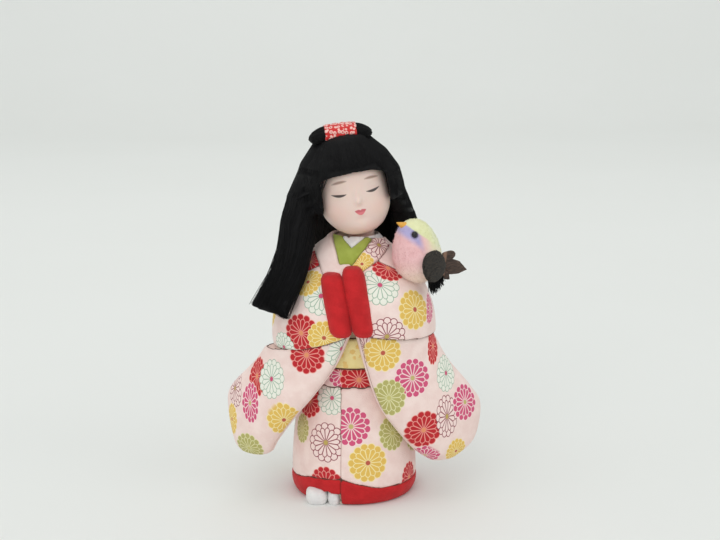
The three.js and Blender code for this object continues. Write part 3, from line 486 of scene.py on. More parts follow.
SKIRT_FORM = [
    section(0, 27.1, 27.6),
    section(7, 29.3, 29.8),
    section(26, 28.7, 29.0),
    section(40, 26.8, 26.0),
    section(54.5, 23.5, 22.0),
    section(68, 22.5, 21.0),
    section(84, 22.5, 21.0),
]
CHEST_FORM = [
    section(66.5, 30, 20.5, y=-5, power=2.2),
    section(71.5, 37, 27.5, y=-5, power=2.3),
    section(82, 38, 29.5, y=-5, power=2.3),
    section(92.5, 36.2, 29, y=-5, power=2.3),
    section(103, 31.5, 26.5, y=-4, power=2.2),
    section(111, 24.5, 19.5, y=-2.5),
    section(117, 18, 15.5, y=-1.5),
    section(123.5, 10.5, 10.5, x=1),
]


def sleeve_form(name):
    side, low, low_x, outer, inner = SLEEVES[name]

    def row(z, inside, outside, b, y, share=1.0):
        half = (outside - inside) / 2 / cos(radians(SLEEVE_TURN))
        middle = side * (inside + outside) / 2
        return section(z, half * share, b * share, middle, y, side * SLEEVE_TURN, 2.3)

    edges = [(SLEEVE_OUT - i, SLEEVE_OUT - o) for i, o in zip(inner, outer)]
    drop, rise = SLEEVE_WIDE - low, SLEEVE_TOP - SLEEVE_WIDE
    return [
        row(low - 0.3, low_x - 3, low_x + 3, SLEEVE_B - 5.5, SLEEVE_Y + 4, 0.08),
        row(low, low_x - 3, low_x + 3, SLEEVE_B - 5.5, SLEEVE_Y + 4),
        row(low + 2, low_x - 7, low_x + 7.5, SLEEVE_B - 2.8, SLEEVE_Y + 3.5),
        row(low + drop * 0.38, *edges[0], SLEEVE_B - 0.8, SLEEVE_Y + 2),
        row(SLEEVE_WIDE, *edges[1], SLEEVE_B, SLEEVE_Y),
        row(SLEEVE_WIDE + rise * 0.24, *edges[2], SLEEVE_B, SLEEVE_Y - 1.4),
        row(SLEEVE_WIDE + rise * 0.61, *edges[3], SLEEVE_B + 0.6, SLEEVE_Y - 3.2),
        row(SLEEVE_TOP + 2, 0.9, SLEEVE_TOP_OUT, SLEEVE_B + 1.5, SLEEVE_Y - 4),
    ]


# How far each panel stands off its form, and how much it swells towards its middle
PROUD = {"left_collar": 0.8, "right_collar": 0.8, "obi_band": 0.9, "waist_tuck": 0.7}
PROUD |= {"right_hem": 0.4, "left_hem": 0.4}
SWELL = {"right_hem": 0.3, "left_hem": 0.3, "green_collar": 0.1, "white_collar": 0.1}
OTHER_SWELL = 0.15
SWELL_WIDTH = 4.0
OBI_TOP = 78.2  # the back panel reaches down to the obi
LEAST_FLAT = 10.1  # the white collar is cut this wide at least


def panel_labels(grid, normal, names):
    """Which of some CAD nodes each point of a form belongs to, or -1 for none. Its lowest ring has none."""
    points, faces, owner = joined([nodes[name] for name in names])
    tree = BVHTree.FromPolygons(points, faces)
    label = np.full(grid.shape[:2], -1)
    for at in np.ndindex(label.shape):
        found, _, index, _ = tree.find_nearest(Vector(grid[at]))
        away = np.array(found) - grid[at]
        along = float(away @ normal[at])
        aside = float(norm(away - along * normal[at]))
        if at[0] > 0 and aside <= BEYOND * MM and abs(along) <= OFF_FORM * MM:
            label[at] = owner[index]
    return label


def blurred(share):
    """A grid of shares softened over a few points, so that its half-way line is smooth."""
    for _ in range(BLUR):
        share = (np.roll(share, 1, 1) + 2 * share + np.roll(share, -1, 1)) / 4
        padded = np.concatenate([share[:1], share, share[-1:]])
        share = (padded[:-2] + 2 * share + padded[2:]) / 4
    return share


def border_points(grid, share):
    """Closely spaced points along the line where a grid of shares passes one half."""
    rings, around = share.shape
    i, j = np.meshgrid(np.arange(rings - 1), np.arange(around), indexing="ij")
    k = (j + 1) % around
    corners = [(i, j), (i, k), (i + 1, k), (i + 1, j)]
    over = [share[c] > 0.5 for c in corners]
    crossings = []
    for n in range(4):
        a, b = corners[n], corners[(n + 1) % 4]
        crossed = over[n] != over[(n + 1) % 4]
        gap = np.where(crossed, share[b] - share[a], 1.0)
        t = ((0.5 - share[a]) / gap)[..., None]
        crossings.append((crossed, grid[a] + t * (grid[b] - grid[a])))
    found = []
    for n in range(4):
        for m in range(n):
            both = crossings[n][0] & crossings[m][0]
            p, q = crossings[n][1][both], crossings[m][1][both]
            found += [p + (q - p) * t for t in np.linspace(0, 1, 6)]
    return np.concatenate(found)


def carried_down(label, height, k, low):
    """Labels with one panel carried on below its lowest row, down to a given height."""
    for j in range(label.shape[1]):
        rows = np.flatnonzero(label[:, j] >= 0)
        if len(rows) and label[rows[0], j] == k:
            below = np.arange(len(label)) < rows[0]
            label[below & (height[:, j] > low * MM), j] = k
    return label


def flat_size(grid, inside, proud):
    """A panel laid flat with its tucked edges: its longest run round the form, and its height up it."""
    around = norm(np.roll(grid, -1, 1) - grid, axis=2)
    upward = norm(grid[1:] - grid[:-1], axis=2)
    rows = np.flatnonzero(inside.any(axis=1))
    columns = inside.any(axis=0)
    width = (around * inside).sum(axis=1).max()
    length = upward[rows[0]:rows[-1], columns].sum(axis=0).max()
    edges = 2 * (TUCK + proud) * MM
    return max(width + edges, LEAST_FLAT * MM), max(length + edges, LEAST_FLAT * MM)


def add_edge(piece, distances):
    """Keeps how far each point lies from the edge of its cloth, for the material."""
    attribute = piece.data.attributes.new("edge", "FLOAT", "POINT")
    attribute.data.foreach_set("value", np.asarray(distances, np.float32))


def panel_pieces(form, names, to_obi=()):
    """One tucked cloth piece for each named CAD panel that lies on a form."""
    grid = form_grid(form, STEP)
    normal = grid_normals(grid)
    label = panel_labels(grid, normal, names)
    for name in to_obi:
        label = carried_down(label, grid[..., 2], names.index(name), OBI_TOP)
    faces = grid_faces(*grid.shape[:2])
    pieces = {}
    for k, name in enumerate(names):
        share = blurred((label == k).astype(float))
        proud = PROUD.get(name, 0.0)
        flat_size(grid, share > 0.5, proud)
        inside = (share > 0.5).ravel()
        borders = border_points(grid, share)
        kd = KDTree(len(borders))
        for n, point in enumerate(borders):
            kd.insert(point, n)
        kd.balance()
        kept = faces[inside[faces].any(axis=1)]
        used, index = np.unique(kept, return_inverse=True)
        points = grid.reshape(-1, 3)[used]
        edge = np.array([kd.find(point)[2] for point in points]) / MM
        signed = np.where(inside[used], edge, -edge)
        rolled = 1 - np.sqrt(1 - (1 - np.clip(signed / ROLL, 0, 1)) ** 2)
        swell = SWELL.get(name, OTHER_SWELL) * np.sin(np.clip(signed / SWELL_WIDTH, 0, 1) * pi / 2)
        height = proud + swell - (proud + TUCK) * rolled
        points = points + normal.reshape(-1, 3)[used] * height[:, None] * MM
        pieces[name] = make_object("cloth_" + name, points, index.reshape(-1, 4))
        add_edge(pieces[name], np.maximum(signed, 0))
    return pieces


SIDES = ("right", "left")
SKIRT_NODES = ["right_skirt_panel", "left_skirt_panel", "right_hem", "left_hem", "waist_tuck", "obi_band"]
CHEST_NODES = ["white_collar", "green_collar", "left_collar", "right_collar", "back_panel"]
CHEST_NODES += [f"{side}_{part}_panel" for side in SIDES for part in ("shoulder", "arm")]

panels = panel_pieces(SKIRT_FORM, SKIRT_NODES)
panels |= panel_pieces(CHEST_FORM, CHEST_NODES, to_obi=["back_panel"])
for side in SIDES:
    panels |= panel_pieces(sleeve_form(side), [f"{side}_sleeve_front", f"{side}_sleeve_back"])

# Flowers where the photograph shows them: pixel, kind, share of the full radius, and how narrow one is seen

FLOWERS = [
    # Chest and arms
    (301, 333, "red", 1, 1),
    (324, 338, "yellow", 0.9, 1),
    (321, 296, "pale", 1, 1),
    (284, 347, "pale", 0.8, 1),
    (308, 282, "yellow", 0.8, 1),
    (310, 262, "red", 0.9, 1),
    (365.5, 347, "outline", 0.9, 1),
    (380, 285, "pale", 1.05, 1),
    (415, 309.5, "yellow", 1.05, 0.95),
    (430, 308, "magenta", 0.9, 0.45),
    (379, 245, "outline", 0.9, 1),
    (362, 264, "yellow", 0.7, 1),
    (388, 268, "red", 0.9, 1),
    # Right sleeve
    (306.5, 355, "red", 1, 1),
    (341.6, 348.6, "pale", 1, 1),
    (257, 376, "red", 1.1, 0.5),
    (250, 403, "magenta", 1.1, 0.5),
    (271.5, 379, "pale", 1.05, 0.75),
    (284, 420, "yellow", 1, 0.9),
    (249, 448, "olive", 0.9, 0.9),
    (276, 444, "magenta", 0.7, 0.6),
    (235, 388, "outline", 1, 0.5),
    (232, 419, "yellow", 0.9, 0.5),
    # Skirt and its tuck
    (310, 401, "red", 0.9, 1),
    (341.6, 374, "magenta", 0.8, 1),
    (359, 380, "red", 1, 1),
    (332, 398, "pale", 0.9, 1),
    (325.7, 442.6, "outline", 1.05, 1),
    (351, 426.7, "magenta", 1.05, 1),
    (368, 463, "yellow", 1.05, 1),
    (302, 428, "olive", 0.8, 0.8),
    (392.6, 433, "olive", 0.95, 0.9),
    (325, 484, "red", 0.95, 1),
    (409, 477, "red", 0.9, 0.8),
    (290.6, 452, "outline", 0.8, 0.5),
    # Left sleeve
    (383, 353, "yellow", 1, 1),
    (387, 336.6, "outline", 1, 1),
    (412.6, 378, "magenta", 1.05, 1),
    (389, 398, "olive", 1, 0.9),
    (423.7, 430, "red", 1.05, 1),
    (447, 416.5, "outline", 1.15, 0.6),
    (465, 402, "magenta", 1, 0.85),
    (446, 373, "pale", 1, 0.65),
    (456, 451, "yellow", 0.8, 0.8),
    (425, 455, "magenta", 0.8, 1),
    (433, 346, "red", 1, 0.4),
]
PRINTED = [name for name in panels if name.endswith(("panel", "front", "back", "tuck"))]
PRINTED += ["left_collar"]
APART = 16.5  # least distance between the flowers that are scattered where the photograph can't see
FROM_EDGE = 4.0  # and their least distance from a panel's edge
SCATTER_TRIES = 1500
RIM_SPOTS = 8  # places round a flower where the camera might see it
SPOT_OFF = 2.0  # how far off the cloth they are
GRAZING = 0.05  # a flower that faces the camera less than this is out of sight
SLEEVE_BACK_RIM = 2.5  # the back of a sleeve is plain where the front lets it be seen


def first_hit(px, py, names):
    """The panel, point and outward direction under a pixel of the photograph."""
    best = None
    for name in names:
        point, normal, _, distance = panel_trees[name].ray_cast(camera.location, pixel_ray(px, py))
        if point and (best is None or distance < best[0]):
            best = (distance, name, point, normal)
    return best


def part_seen(place, outward):
    """Whether the camera sees the middle of a flower, or any of some spots round its rim."""
    east = outward.orthogonal().normalized() * FLOWER_R * MM
    north = outward.cross(east)
    angles = np.arange(RIM_SPOTS) * 2 * pi / RIM_SPOTS
    for shift in (Vector(), *(east * cos(angle) + north * sin(angle) for angle in angles)):
        spot = place + shift + outward * SPOT_OFF * MM
        to_camera = camera.location - spot
        facing = outward.dot(to_camera.normalized()) > GRAZING
        if facing and not any(tree.ray_cast(spot, to_camera)[0] for tree in panel_trees.values()):
            return True
    return False


# A flower whose centre would lie on a hem is cut off by it, and belongs to the panel above
ABOVE = {f"{side}_hem": f"{side}_skirt_panel" for side in SIDES}
panel_trees = {name: tree_of(panels[name]) for name in [*PRINTED, *ABOVE]}
flowers = {name: [] for name in PRINTED}
for px, py, kind, share, narrow in FLOWERS:
    hit = first_hit(px, py, panel_trees)
    if hit:
        _, name, point, normal = hit
        flower = flower_at(point, normal, kind, share * FLOWER_R, chance.uniform(0, 6), narrow)
        flowers[ABOVE.get(name, name)].append(flower)
for name in PRINTED:
    mesh = panels[name].data
    count = len(mesh.vertices)
    for index in chance.sample(range(count), min(SCATTER_TRIES, count)):
        vertex = mesh.vertices[index]
        place, outward = vertex.co.copy(), vertex.normal.copy()
        inside = mesh.attributes["edge"].data[index].value > FROM_EDGE
        far = all((place - flower[1]).length > APART * MM for flower in flowers[name])
        if far and inside and not part_seen(place, outward):
            kind = chance.choice(list(KINDS))
            flowers[name].append(flower_at(place, outward, kind, FLOWER_R, chance.uniform(0, 6)))

# Cloth materials, given to each panel

PALE_PINK = (colour(248, 226, 219), colour(240, 213, 206))
RED = (colour(202, 26, 32), colour(184, 17, 23))
GREEN = (colour(172, 184, 84), colour(152, 166, 64))
WHITE = (colour(240, 238, 236), colour(226, 224, 224))
GOLD = (colour(250, 238, 178), colour(240, 224, 154))
LEAF, LEAF_SPACING = colour(238, 206, 128), 1 / 0.26


def brocade(tree, place, ground):
    """Small orange leaves scattered over the gold."""
    ragged = tree.cells(place, LEAF_SPACING) + tree.noise(place, 0.8) * 0.4
    return tree.mix(tree.ramp(ragged, 0.56, 0.44), ground, LEAF)


# The collars take less of the painted groove shade
CLOTHS = {
    "red_crepe": cloth("red_crepe", *RED, sheen=0.08),
    "green_silk": cloth("green_silk", *GREEN, thread=0.3, groove=0.4),
    "white_silk": cloth("white_silk", *WHITE, thread=0.25, groove=0.4),
    "gold_brocade": cloth("gold_brocade", *GOLD, thread=0.3, decorate=brocade),
}
PLAIN = {
    "right_hem": "red_crepe",
    "left_hem": "red_crepe",
    "green_collar": "green_silk",
    "white_collar": "white_silk",
    "obi_band": "gold_brocade",
}
CARRIERS = {name: "body_core" for name in panels}
for side in SIDES:
    CARRIERS |= {f"{side}_sleeve_{face}": f"{side}_sleeve_core" for face in ("front", "back")}

for name, piece in panels.items():
    slot = PLAIN.get(name, "printed_crepe")
    made = CLOTHS.get(slot)
    if made is None:
        # the printed collars take half the painted groove shade
        groove = 0.5 if name.endswith("collar") else 1.0
        rim = SLEEVE_BACK_RIM if name.endswith("sleeve_back") else 0.0
        decorate = printed(flowers.get(name, []), rim)
        made = cloth("print_" + name, *PALE_PINK, decorate=decorate, groove=groove)
    dress(piece, made, "figure", slot, name)

# Padded pieces: cuffs, bow and feet

WAVES, WAVE_SUM = 7, 3  # this many waves make the swellings, and come to about this many times one of them
SWELLING = 9.0  # length of the waves on a padded piece
NO_EDGE = 9.0  # a padded piece has no edge near any of its points
GROW = 25.0  # the cloth is simulated at this many times its true size
PRESSURE, PRESS_STEPS = 4, 20
PUFF = 0.5  # the most that the stuffing may move a point


def wrinkled(piece, depth, size, seed):
    """Gentle seeded swellings that keep a padded piece from looking machined."""
    points, normal = read_points(piece.data), read_points(piece.data, "normal")
    waves = random.Random(seed)
    height = np.zeros(len(points))
    for _ in range(WAVES):
        way = Vector((waves.gauss(0, 1), waves.gauss(0, 1), waves.gauss(0, 1))).normalized()
        height += np.sin(points @ np.array(way) * 2 * pi / (size * MM) + waves.uniform(0, 6))
    write_points(piece.data, points + normal * (height * depth * MM / WAVE_SUM)[:, None])


def puffed(piece):
    """Lets the stuffing press a padded piece outwards, as far as PUFF allows."""
    start = read_points(piece.data)
    write_points(piece.data, start * GROW)
    stuffing = piece.modifiers.new("stuffing", "CLOTH")
    stuffing.settings.use_pressure = True
    stuffing.settings.uniform_pressure_force = PRESSURE
    stuffing.settings.effector_weights.gravity = 0
    for step in range(PRESS_STEPS):
        scene.frame_set(step + 1)
    pressed = piece.evaluated_get(bpy.context.evaluated_depsgraph_get())
    move = read_points(pressed.data) / GROW - start
    piece.modifiers.remove(stuffing)
    scene.frame_set(1)
    far = norm(move, axis=1, keepdims=True)
    write_points(piece.data, start + move * np.minimum(1, PUFF * MM / np.maximum(far, 1e-9)))


def padded_piece(name, slot, voxel=0.8, rounds=12, wrinkle=0.05, grow=0.0):
    piece = soft_copy("padded_" + name, [name], voxel, rounds)
    mesh = piece.data
    write_points(mesh, read_points(mesh) + read_points(mesh, "normal") * grow * MM)
    puffed(piece)
    wrinkled(piece, wrinkle, SWELLING, len(name))
    points = read_points(mesh)
    points[:, 2] = np.maximum(points[:, 2], 0)
    write_points(mesh, points)
    add_edge(piece, np.full(len(points), NO_EDGE))
    fine = piece.modifiers.new("fine", "SUBSURF")
    fine.levels = fine.render_levels = 1
    dress(piece, CLOTHS[slot], "figure", slot, name)


for side in SIDES:
    padded_piece(f"{side}_cuff", "red_crepe", voxel=0.6, rounds=8, grow=0.5)
    padded_piece(f"{side}_foot", "white_silk", voxel=0.45, rounds=2, wrinkle=0.02, grow=0.3)
padded_piece("obi_knot", "gold_brocade")

# Head: a smooth painted form with a small relief


def frame_at(place, *turns):
    """A frame at a place, turned by some angles round its own axes one after the other."""
    made = Matrix.Translation(Vector(place) * MM)
    for angle, axis in turns:
        made = made @ Matrix.Rotation(radians(angle), 4, axis)
    return made


HEAD_FRAME = frame_at((3.5, 0, 123), (-10.5, "Y"), (7, "X"), (6, "Z"))
CHEEK_A, CHEEK_B, CHIN_Z, CHEEK_Z, SKULL_Z, NECK_R = 15.9, 18.0, 4.3, 22.0, 43.5, 6.2
HEAD_FORM = [
    section(-7, NECK_R, NECK_R),
    section(1, NECK_R, NECK_R),
    section(CHIN_Z, CHEEK_A * 0.56, CHEEK_B * 0.55, y=-CHEEK_B * 0.178),
    section(CHIN_Z + 3, CHEEK_A * 0.75, CHEEK_B * 0.76, y=-CHEEK_B * 0.2),
    section((CHIN_Z + CHEEK_Z) / 2, CHEEK_A * 0.94, CHEEK_B * 0.93, y=-CHEEK_B * 0.122),
    section(CHEEK_Z, CHEEK_A, CHEEK_B, y=-CHEEK_B * 0.033),
    section((CHEEK_Z + SKULL_Z) / 2, CHEEK_A * 0.96, CHEEK_B * 0.98),
    section(SKULL_Z - 5, CHEEK_A * 0.72, CHEEK_B * 0.78, y=0.5),
    section(SKULL_Z - 1.2, CHEEK_A * 0.38, CHEEK_B * 0.42, y=1),
    section(SKULL_Z, CHEEK_A * 0.12, CHEEK_B * 0.12, y=1),
]
# Places on the face across and up, in the head's own frame
EYES = {"right": (-7.9, 24.9), "left": (7.7, 24.5)}
BROWS = {"right": (-6.9, 30.3, 0.19), "left": (8.0, 29.7, -0.16)}  # the last is the brow's slope
EYE_W, BROW_W = 3.5, 3.6  # half-widths
NOSE_AT = (0.1, 21.0)
MOUTH_AT = (0.2, 16.2)
CHEEKS = ((-9.6, 17.0), (9.6, 16.5))
RIGHT_JOWL, LEFT_JOWL = (-15.2, 18.5), (15.5, 17.0)
# Relief as (across, up, half-width, half-height, rise)
RELIEF = [
    (*NOSE_AT, 1.5, 1.7, 1.6),
    (NOSE_AT[0], 24.5, 1.4, 3.6, 0.7),
    (MOUTH_AT[0], 16.9, 1.9, 0.7, 0.45),
    (MOUTH_AT[0], 15.2, 1.3, 0.8, 0.5),
    (MOUTH_AT[0], 12.6, 2.6, 1.0, -0.35),
    (MOUTH_AT[0], 9.2, 4.5, 2.6, 0.5),
    *((x, z - 0.9, 3.0, 1.2, 0.35) for x, z in EYES.values()),
    *((x, z + 2.3, 3.6, 1.5, -0.45) for x, z in EYES.values()),
    *((x, z, 5.0, 4.5, 0.35) for x, z in CHEEKS),
    (*RIGHT_JOWL, 4.5, 9.0, 1.3),
    (*LEFT_JOWL, 4.5, 8.0, 0.5),
]
HEAD_STEP = 0.4  # spacing of the head's points
FACE_DEPTH = 6  # the relief fades out from this far in front of the head's axis


def make_head():
    grid = form_grid(HEAD_FORM, HEAD_STEP)
    normal = grid_normals(grid)
    x, y, z = np.moveaxis(grid / MM, -1, 0)
    rise = np.zeros(x.shape)
    for across, up, half_width, half_height, height in RELIEF:
        rise += height * np.exp(-(((x - across) / half_width) ** 2) - ((z - up) / half_height) ** 2)
    front = np.clip(-y / FACE_DEPTH, 0, 1)
    grid = grid + normal * (rise * front * MM)[..., None]
    return make_object("painted_head", grid.reshape(-1, 3), grid_faces(*grid.shape[:2]))


SKIN = (colour(237, 214, 203), colour(231, 203, 192))
# The cheeks' blush, also used as painted shade under the chin
BLUSH_AND_CHIN_SHADE = colour(238, 188, 176)
# Painted shade on the lid over each eye
LID_SHADE = colour(214, 178, 168)
LASH = colour(40, 30, 28)
BROW = colour(138, 104, 86)
LIP = colour(220, 106, 116)
LIP_DARK = colour(200, 80, 96)
# How strongly each of them covers
CHEEK_SHARE, CHIN_SHADE_SHARE, LID_SHADE_SHARE, LASH_SHARE, BROW_SHARE, LIP_SHARE = 0.3, 0.4, 0.25, 0.95, 0.8, 0.92
FACE_FRONT = (-8.0, -10.0)  # paint starts this far in front of the head's axis
CHIN_SHADE_HEIGHTS = (12.0, 3.0)  # heights between which painted shade warms the chin and neck
BLUSH_SIZE, LID_SHADE_SIZE = (8, 7), (4.2, 1.9)
LID_SHADE_UP, LASH_UP = 0.6, 0.2  # how far over the middle of an eye they are
# How far a stroke bends, how thick it is and how soft its outline is
LASH_STROKE = (-0.55, 0.6, 0.16)
BROW_STROKE = (0.4, 0.6, 0.4)
LIP_TOP, LIP_LOW = 0.8, -1.5  # heights of the lips' outline over and under the mouth's middle
TOP_CURVE, LOW_CURVE = 0.08, 0.3
BOW_WIDTH, BOW_RISE = 0.7, 0.4  # the dip in the middle of the upper lip
LIP_SOFT = 0.2


def face_paint(tree, place, skin):
    """Downcast eyes, soft brows, small lips and a blush painted on the front of the head, with painted shade
    under the chin and over the eyes.
    """
    x, y, z = tree.millimetres(place)
    front = tree.ramp(y, *FACE_FRONT)

    def spot(across, up, half_width, half_height):
        return tree.length((x - across) / half_width, (z - up) / half_height)

    def stroke(across, up, slope, half_width, bend, thick, soft):
        """A brush stroke that tapers to both ends and bends in the middle."""
        u = (x - across) / half_width
        taper = tree.math("MAXIMUM", 1.0 - u * u, 0.0)
        line = taper * bend + up + u * (slope * half_width)
        inside = taper * thick - abs(z - line)
        return tree.ramp(inside, -soft, soft) * (front * tree.ramp(taper, 0.0, 0.12))

    for cheek in CHEEKS:
        skin = tree.mix(tree.ramp(spot(*cheek, *BLUSH_SIZE), 1.0, 0.0) * CHEEK_SHARE, skin, BLUSH_AND_CHIN_SHADE)
    # painted shade under the chin and on the neck
    skin = tree.mix(tree.ramp(z, *CHIN_SHADE_HEIGHTS) * CHIN_SHADE_SHARE, skin, BLUSH_AND_CHIN_SHADE)
    for across, up in EYES.values():
        # painted shade on the lid over each eye
        skin = tree.mix(tree.ramp(spot(across, up + LID_SHADE_UP, *LID_SHADE_SIZE), 1.0, 0.3) * LID_SHADE_SHARE, skin, LID_SHADE)
        skin = tree.mix(stroke(across, up + LASH_UP, 0.0, EYE_W, *LASH_STROKE) * LASH_SHARE, skin, LASH)
    for across, up, slope in BROWS.values():
        skin = tree.mix(stroke(across, up, slope, BROW_W, *BROW_STROKE) * BROW_SHARE, skin, BROW)
    u, height = x - MOUTH_AT[0], z - MOUTH_AT[1]
    bow = tree.ramp(abs(u), 0.0, BOW_WIDTH) * BOW_RISE
    under_top = bow + LIP_TOP - u * u * TOP_CURVE - height
    over_low = height - u * u * LOW_CURVE - LIP_LOW
    lips = tree.ramp(under_top, -LIP_SOFT, LIP_SOFT) * tree.ramp(over_low, -LIP_SOFT, LIP_SOFT)
    lip = tree.mix(tree.ramp(height, -0.25, 0.1), LIP, LIP_DARK)
    return tree.mix(lips * front * LIP_SHARE, skin, lip)


def skin_material():
    constants = {"Roughness": 0.42, "Coat_Weight": 0.12, "Coat_Roughness": 0.4}
    constants |= {"Subsurface_Weight": 0.12, "Subsurface_Scale": 2 * MM}
    made, tree, place = new_material("shell_white", **constants)
    skin = tree.mix(tree.noise(place, 9.0), *SKIN)
    tree.surface(face_paint(tree, place, skin), tree.noise(place, 0.6), 0.02)
    return made


head = make_head()
head.matrix_world = HEAD_FRAME
dress(head, skin_material(), "head", "shell_white", "head")

# Hair: smooth masses under many fine strands

# The hair beside the right cheek in the head's own frame: its middle, its size and how far it is drawn back
CHEEK_HAIR = (-14.5, -8.0, 15.0)
CHEEK_HAIR_SIZE = (3.5, 6.0, 8.0)
CHEEK_HAIR_MOVE = (-1.9, 1.6, 0.0)
HAIR_BLACK = (colour(7, 7, 8), colour(18, 17, 19))
STRAND_GRAIN = (1, 1, 0.08)  # the grain of hair is drawn out along its fall
THIN_END = 0.6  # share of its thickness that a strand loses at its end


def hair_material(name, gloss):
    made, tree, place = new_material(name, Roughness=0.55, Specular_IOR_Level=gloss)
    grain = tree.noise(place * STRAND_GRAIN, 0.35, 2.0)
    tree.surface(tree.mix(tree.noise(place, 1.2), *HAIR_BLACK), grain, 0.2)
    return made


silk_thread = hair_material("silk_thread", 0.17)
silk_shade = hair_material("silk_shade", 0.15)


def strand_piece(name, paths, radius, made, body, slot, matrix=None):
    """Many thin strands as one piece. Each path is a list of points that tapers to its end."""
    curve = bpy.data.curves.new(name, "CURVE")
    curve.dimensions = "3D"
    curve.bevel_depth = radius * MM
    curve.bevel_resolution = 0
    for path in paths:
        strand = curve.splines.new("POLY")
        strand.points.add(len(path) - 1)
        strand.points.foreach_set("co", [c for p in path for c in (*p, 1.0)])
        taper = [1.0 - THIN_END * (k / (len(path) - 1)) ** 3 for k in range(len(path))]
        strand.points.foreach_set("radius", taper)
    piece = linked(name, curve)
    if matrix:
        piece.matrix_world = matrix
    dress(piece, made, body, slot)


def in_own_frame(points, matrix):
    back = np.array(matrix.inverted())
    return points @ back[:3, :3].T + back[:3, 3]


def drawn_back(piece):
    """Draws the hair beside the right cheek back from the face."""
    points = read_points(piece.data)
    offset = in_own_frame(points, HEAD_FRAME) / MM - CHEEK_HAIR
    share = np.exp(-((offset / CHEEK_HAIR_SIZE) ** 2).sum(axis=1, keepdims=True))
    move = HEAD_FRAME.to_3x3() @ Vector(CHEEK_HAIR_MOVE)
    write_points(piece.data, points + share * np.array(move) * MM)


def hair_mass(name, replaced):
    piece = soft_copy(name, replaced, 0.6, 10)
    drawn_back(piece)
    return tree_of(dress(piece, silk_shade, "head", "silk_thread", *replaced))


FALLING_HAIR = ["crown_hair", "fringe_hair", "right_side_hair", "left_side_hair", "back_hair"]
fallen = hair_mass("falling_hair", FALLING_HAIR)
LIFT = 0.12  # how far a strand lies off its mass
LOOSE = 2.0  # how far a loose strand may stand off at its tip
JUMP = 9.0  # a strand ends where the mass under it steps by more than this
HEAD_LIMITS = (-4, 10)  # degrees that the head turns each way
HAIR_GAP = 0.4  # strands that would come nearer to the cloth than this are left out
NEAR_CLOTH = 3.0  # cloth further from a strand than this can't touch it
UNDER_HAIR = ["back_panel", *(f"{side}_{part}_panel" for side in SIDES for part in ("shoulder", "arm"))]
TURNED = []
for limit in HEAD_LIMITS:
    TURNED.append(HEAD_FRAME @ Matrix.Rotation(radians(limit), 4, "Z") @ HEAD_FRAME.inverted())
LOCK_STOPS, LEAST_RUN = 22, 6  # points along a strand of a lock, and the fewest that are kept
CROWN_STOPS, LEAST_CROWN = 12, 7
LOOP_STOPS, LEAST_LOOP = 9, 6
CROWN_DROP, TIP_RISE = 3.0, 0.5  # how far under the crown's top and over a lock's tip its strands end
LOCK_BLEND = 30.0  # length over which they pass from the crown to the lock
CROWN_MIDDLE = (0, 0.5, 24)
LOCK_REACH, CROWN_REACH, LOOP_REACH = 90.0, 45.0, 30.0  # how far out each kind is sought
LOOP_TILTS = (-1.1, 1.45)
LOCK_DRIFT, CROWN_DRIFT = 0.05, 0.03  # angle by which strands wander round their form
LOCK_WAVE, CROWN_WAVE = 0.35, 0.6  # and how much of a wave they pass from point to point
LONGER = 0.4  # the most that a cut tip reaches on, as a share of its last step


def outer_point(tree, centre, way, reach):
    """The outermost point of a form seen from a centre in some direction, just off its surface."""
    point, _, _, _ = tree.ray_cast(centre + way * reach * MM, -way, reach * MM)
    return point + way * LIFT * MM if point else None


def stays_clear(point):
    """Whether a point of the hair keeps off the cloth while the head turns from limit to limit."""
    for turned in TURNED:
        moved = turned @ point
        for name in UNDER_HAIR:
            near, normal, _, distance = panel_trees[name].find_nearest(moved)
            if distance < NEAR_CLOTH * MM and (moved - near).dot(normal) < HAIR_GAP * MM:
                return False
    return True


def section_centre(mesh, z):
    """The middle of a level section through a mesh, or None where there is no section."""
    points = read_points(mesh)
    ends = np.array([edge.vertices[:] for edge in mesh.edges])
    a, b = points[ends[:, 0]], points[ends[:, 1]]
    crossing = (a[:, 2] - z) * (b[:, 2] - z) < 0
    if not crossing.any():
        return None
    a, b = a[crossing], b[crossing]
    t = ((z - a[:, 2]) / (b[:, 2] - a[:, 2]))[:, None]
    return Vector((a + t * (b - a)).mean(axis=0))


def lock_strands(name, count, facing, spread=(-2.0, 2.0)):
    """Strands that run from the crown down over the outer side of a lock to its cut tip."""
    lock, crown = nodes[name].data, nodes["crown_hair"].data
    low, high = read_points(lock)[:, 2].min(), read_points(lock)[:, 2].max()
    start = read_points(crown)[:, 2].max() - CROWN_DROP * MM
    stops = []
    for z in np.linspace(start, low + TIP_RISE * MM, LOCK_STOPS):
        share = min(max((high - z) / (LOCK_BLEND * MM), 0), 1)
        inner, outer = section_centre(crown, z), section_centre(lock, z)
        stops.append((inner or outer).lerp(outer or inner, share if inner else 1.0))
    paths = []
    for _ in range(count):
        angle = facing + chance.uniform(*spread)
        drift = chance.gauss(0, LOCK_DRIFT)
        swing = chance.uniform(0, 6)
        loose = LOOSE * MM * chance.random() ** 9
        stretch = chance.uniform(0.0, LONGER)
        runs = [[]]
        for k, centre in enumerate(stops):
            turn = angle + drift * sin(k * LOCK_WAVE + swing)
            way = Vector((cos(turn), sin(turn), 0))
            point = outer_point(fallen, centre, way, LOCK_REACH)
            if point is None:
                continue
            point = point + way * loose * (k / len(stops)) ** 2
            clear = stays_clear(point)
            if runs[-1] and (not clear or (point - runs[-1][-1]).length > JUMP * MM):
                runs.append([])
            if clear:
                runs[-1].append(point)
        for run in runs:
            if len(run) >= LEAST_RUN:
                run[-1] = run[-1] + (run[-1] - run[-2]) * stretch
                paths.append(run)
    return paths


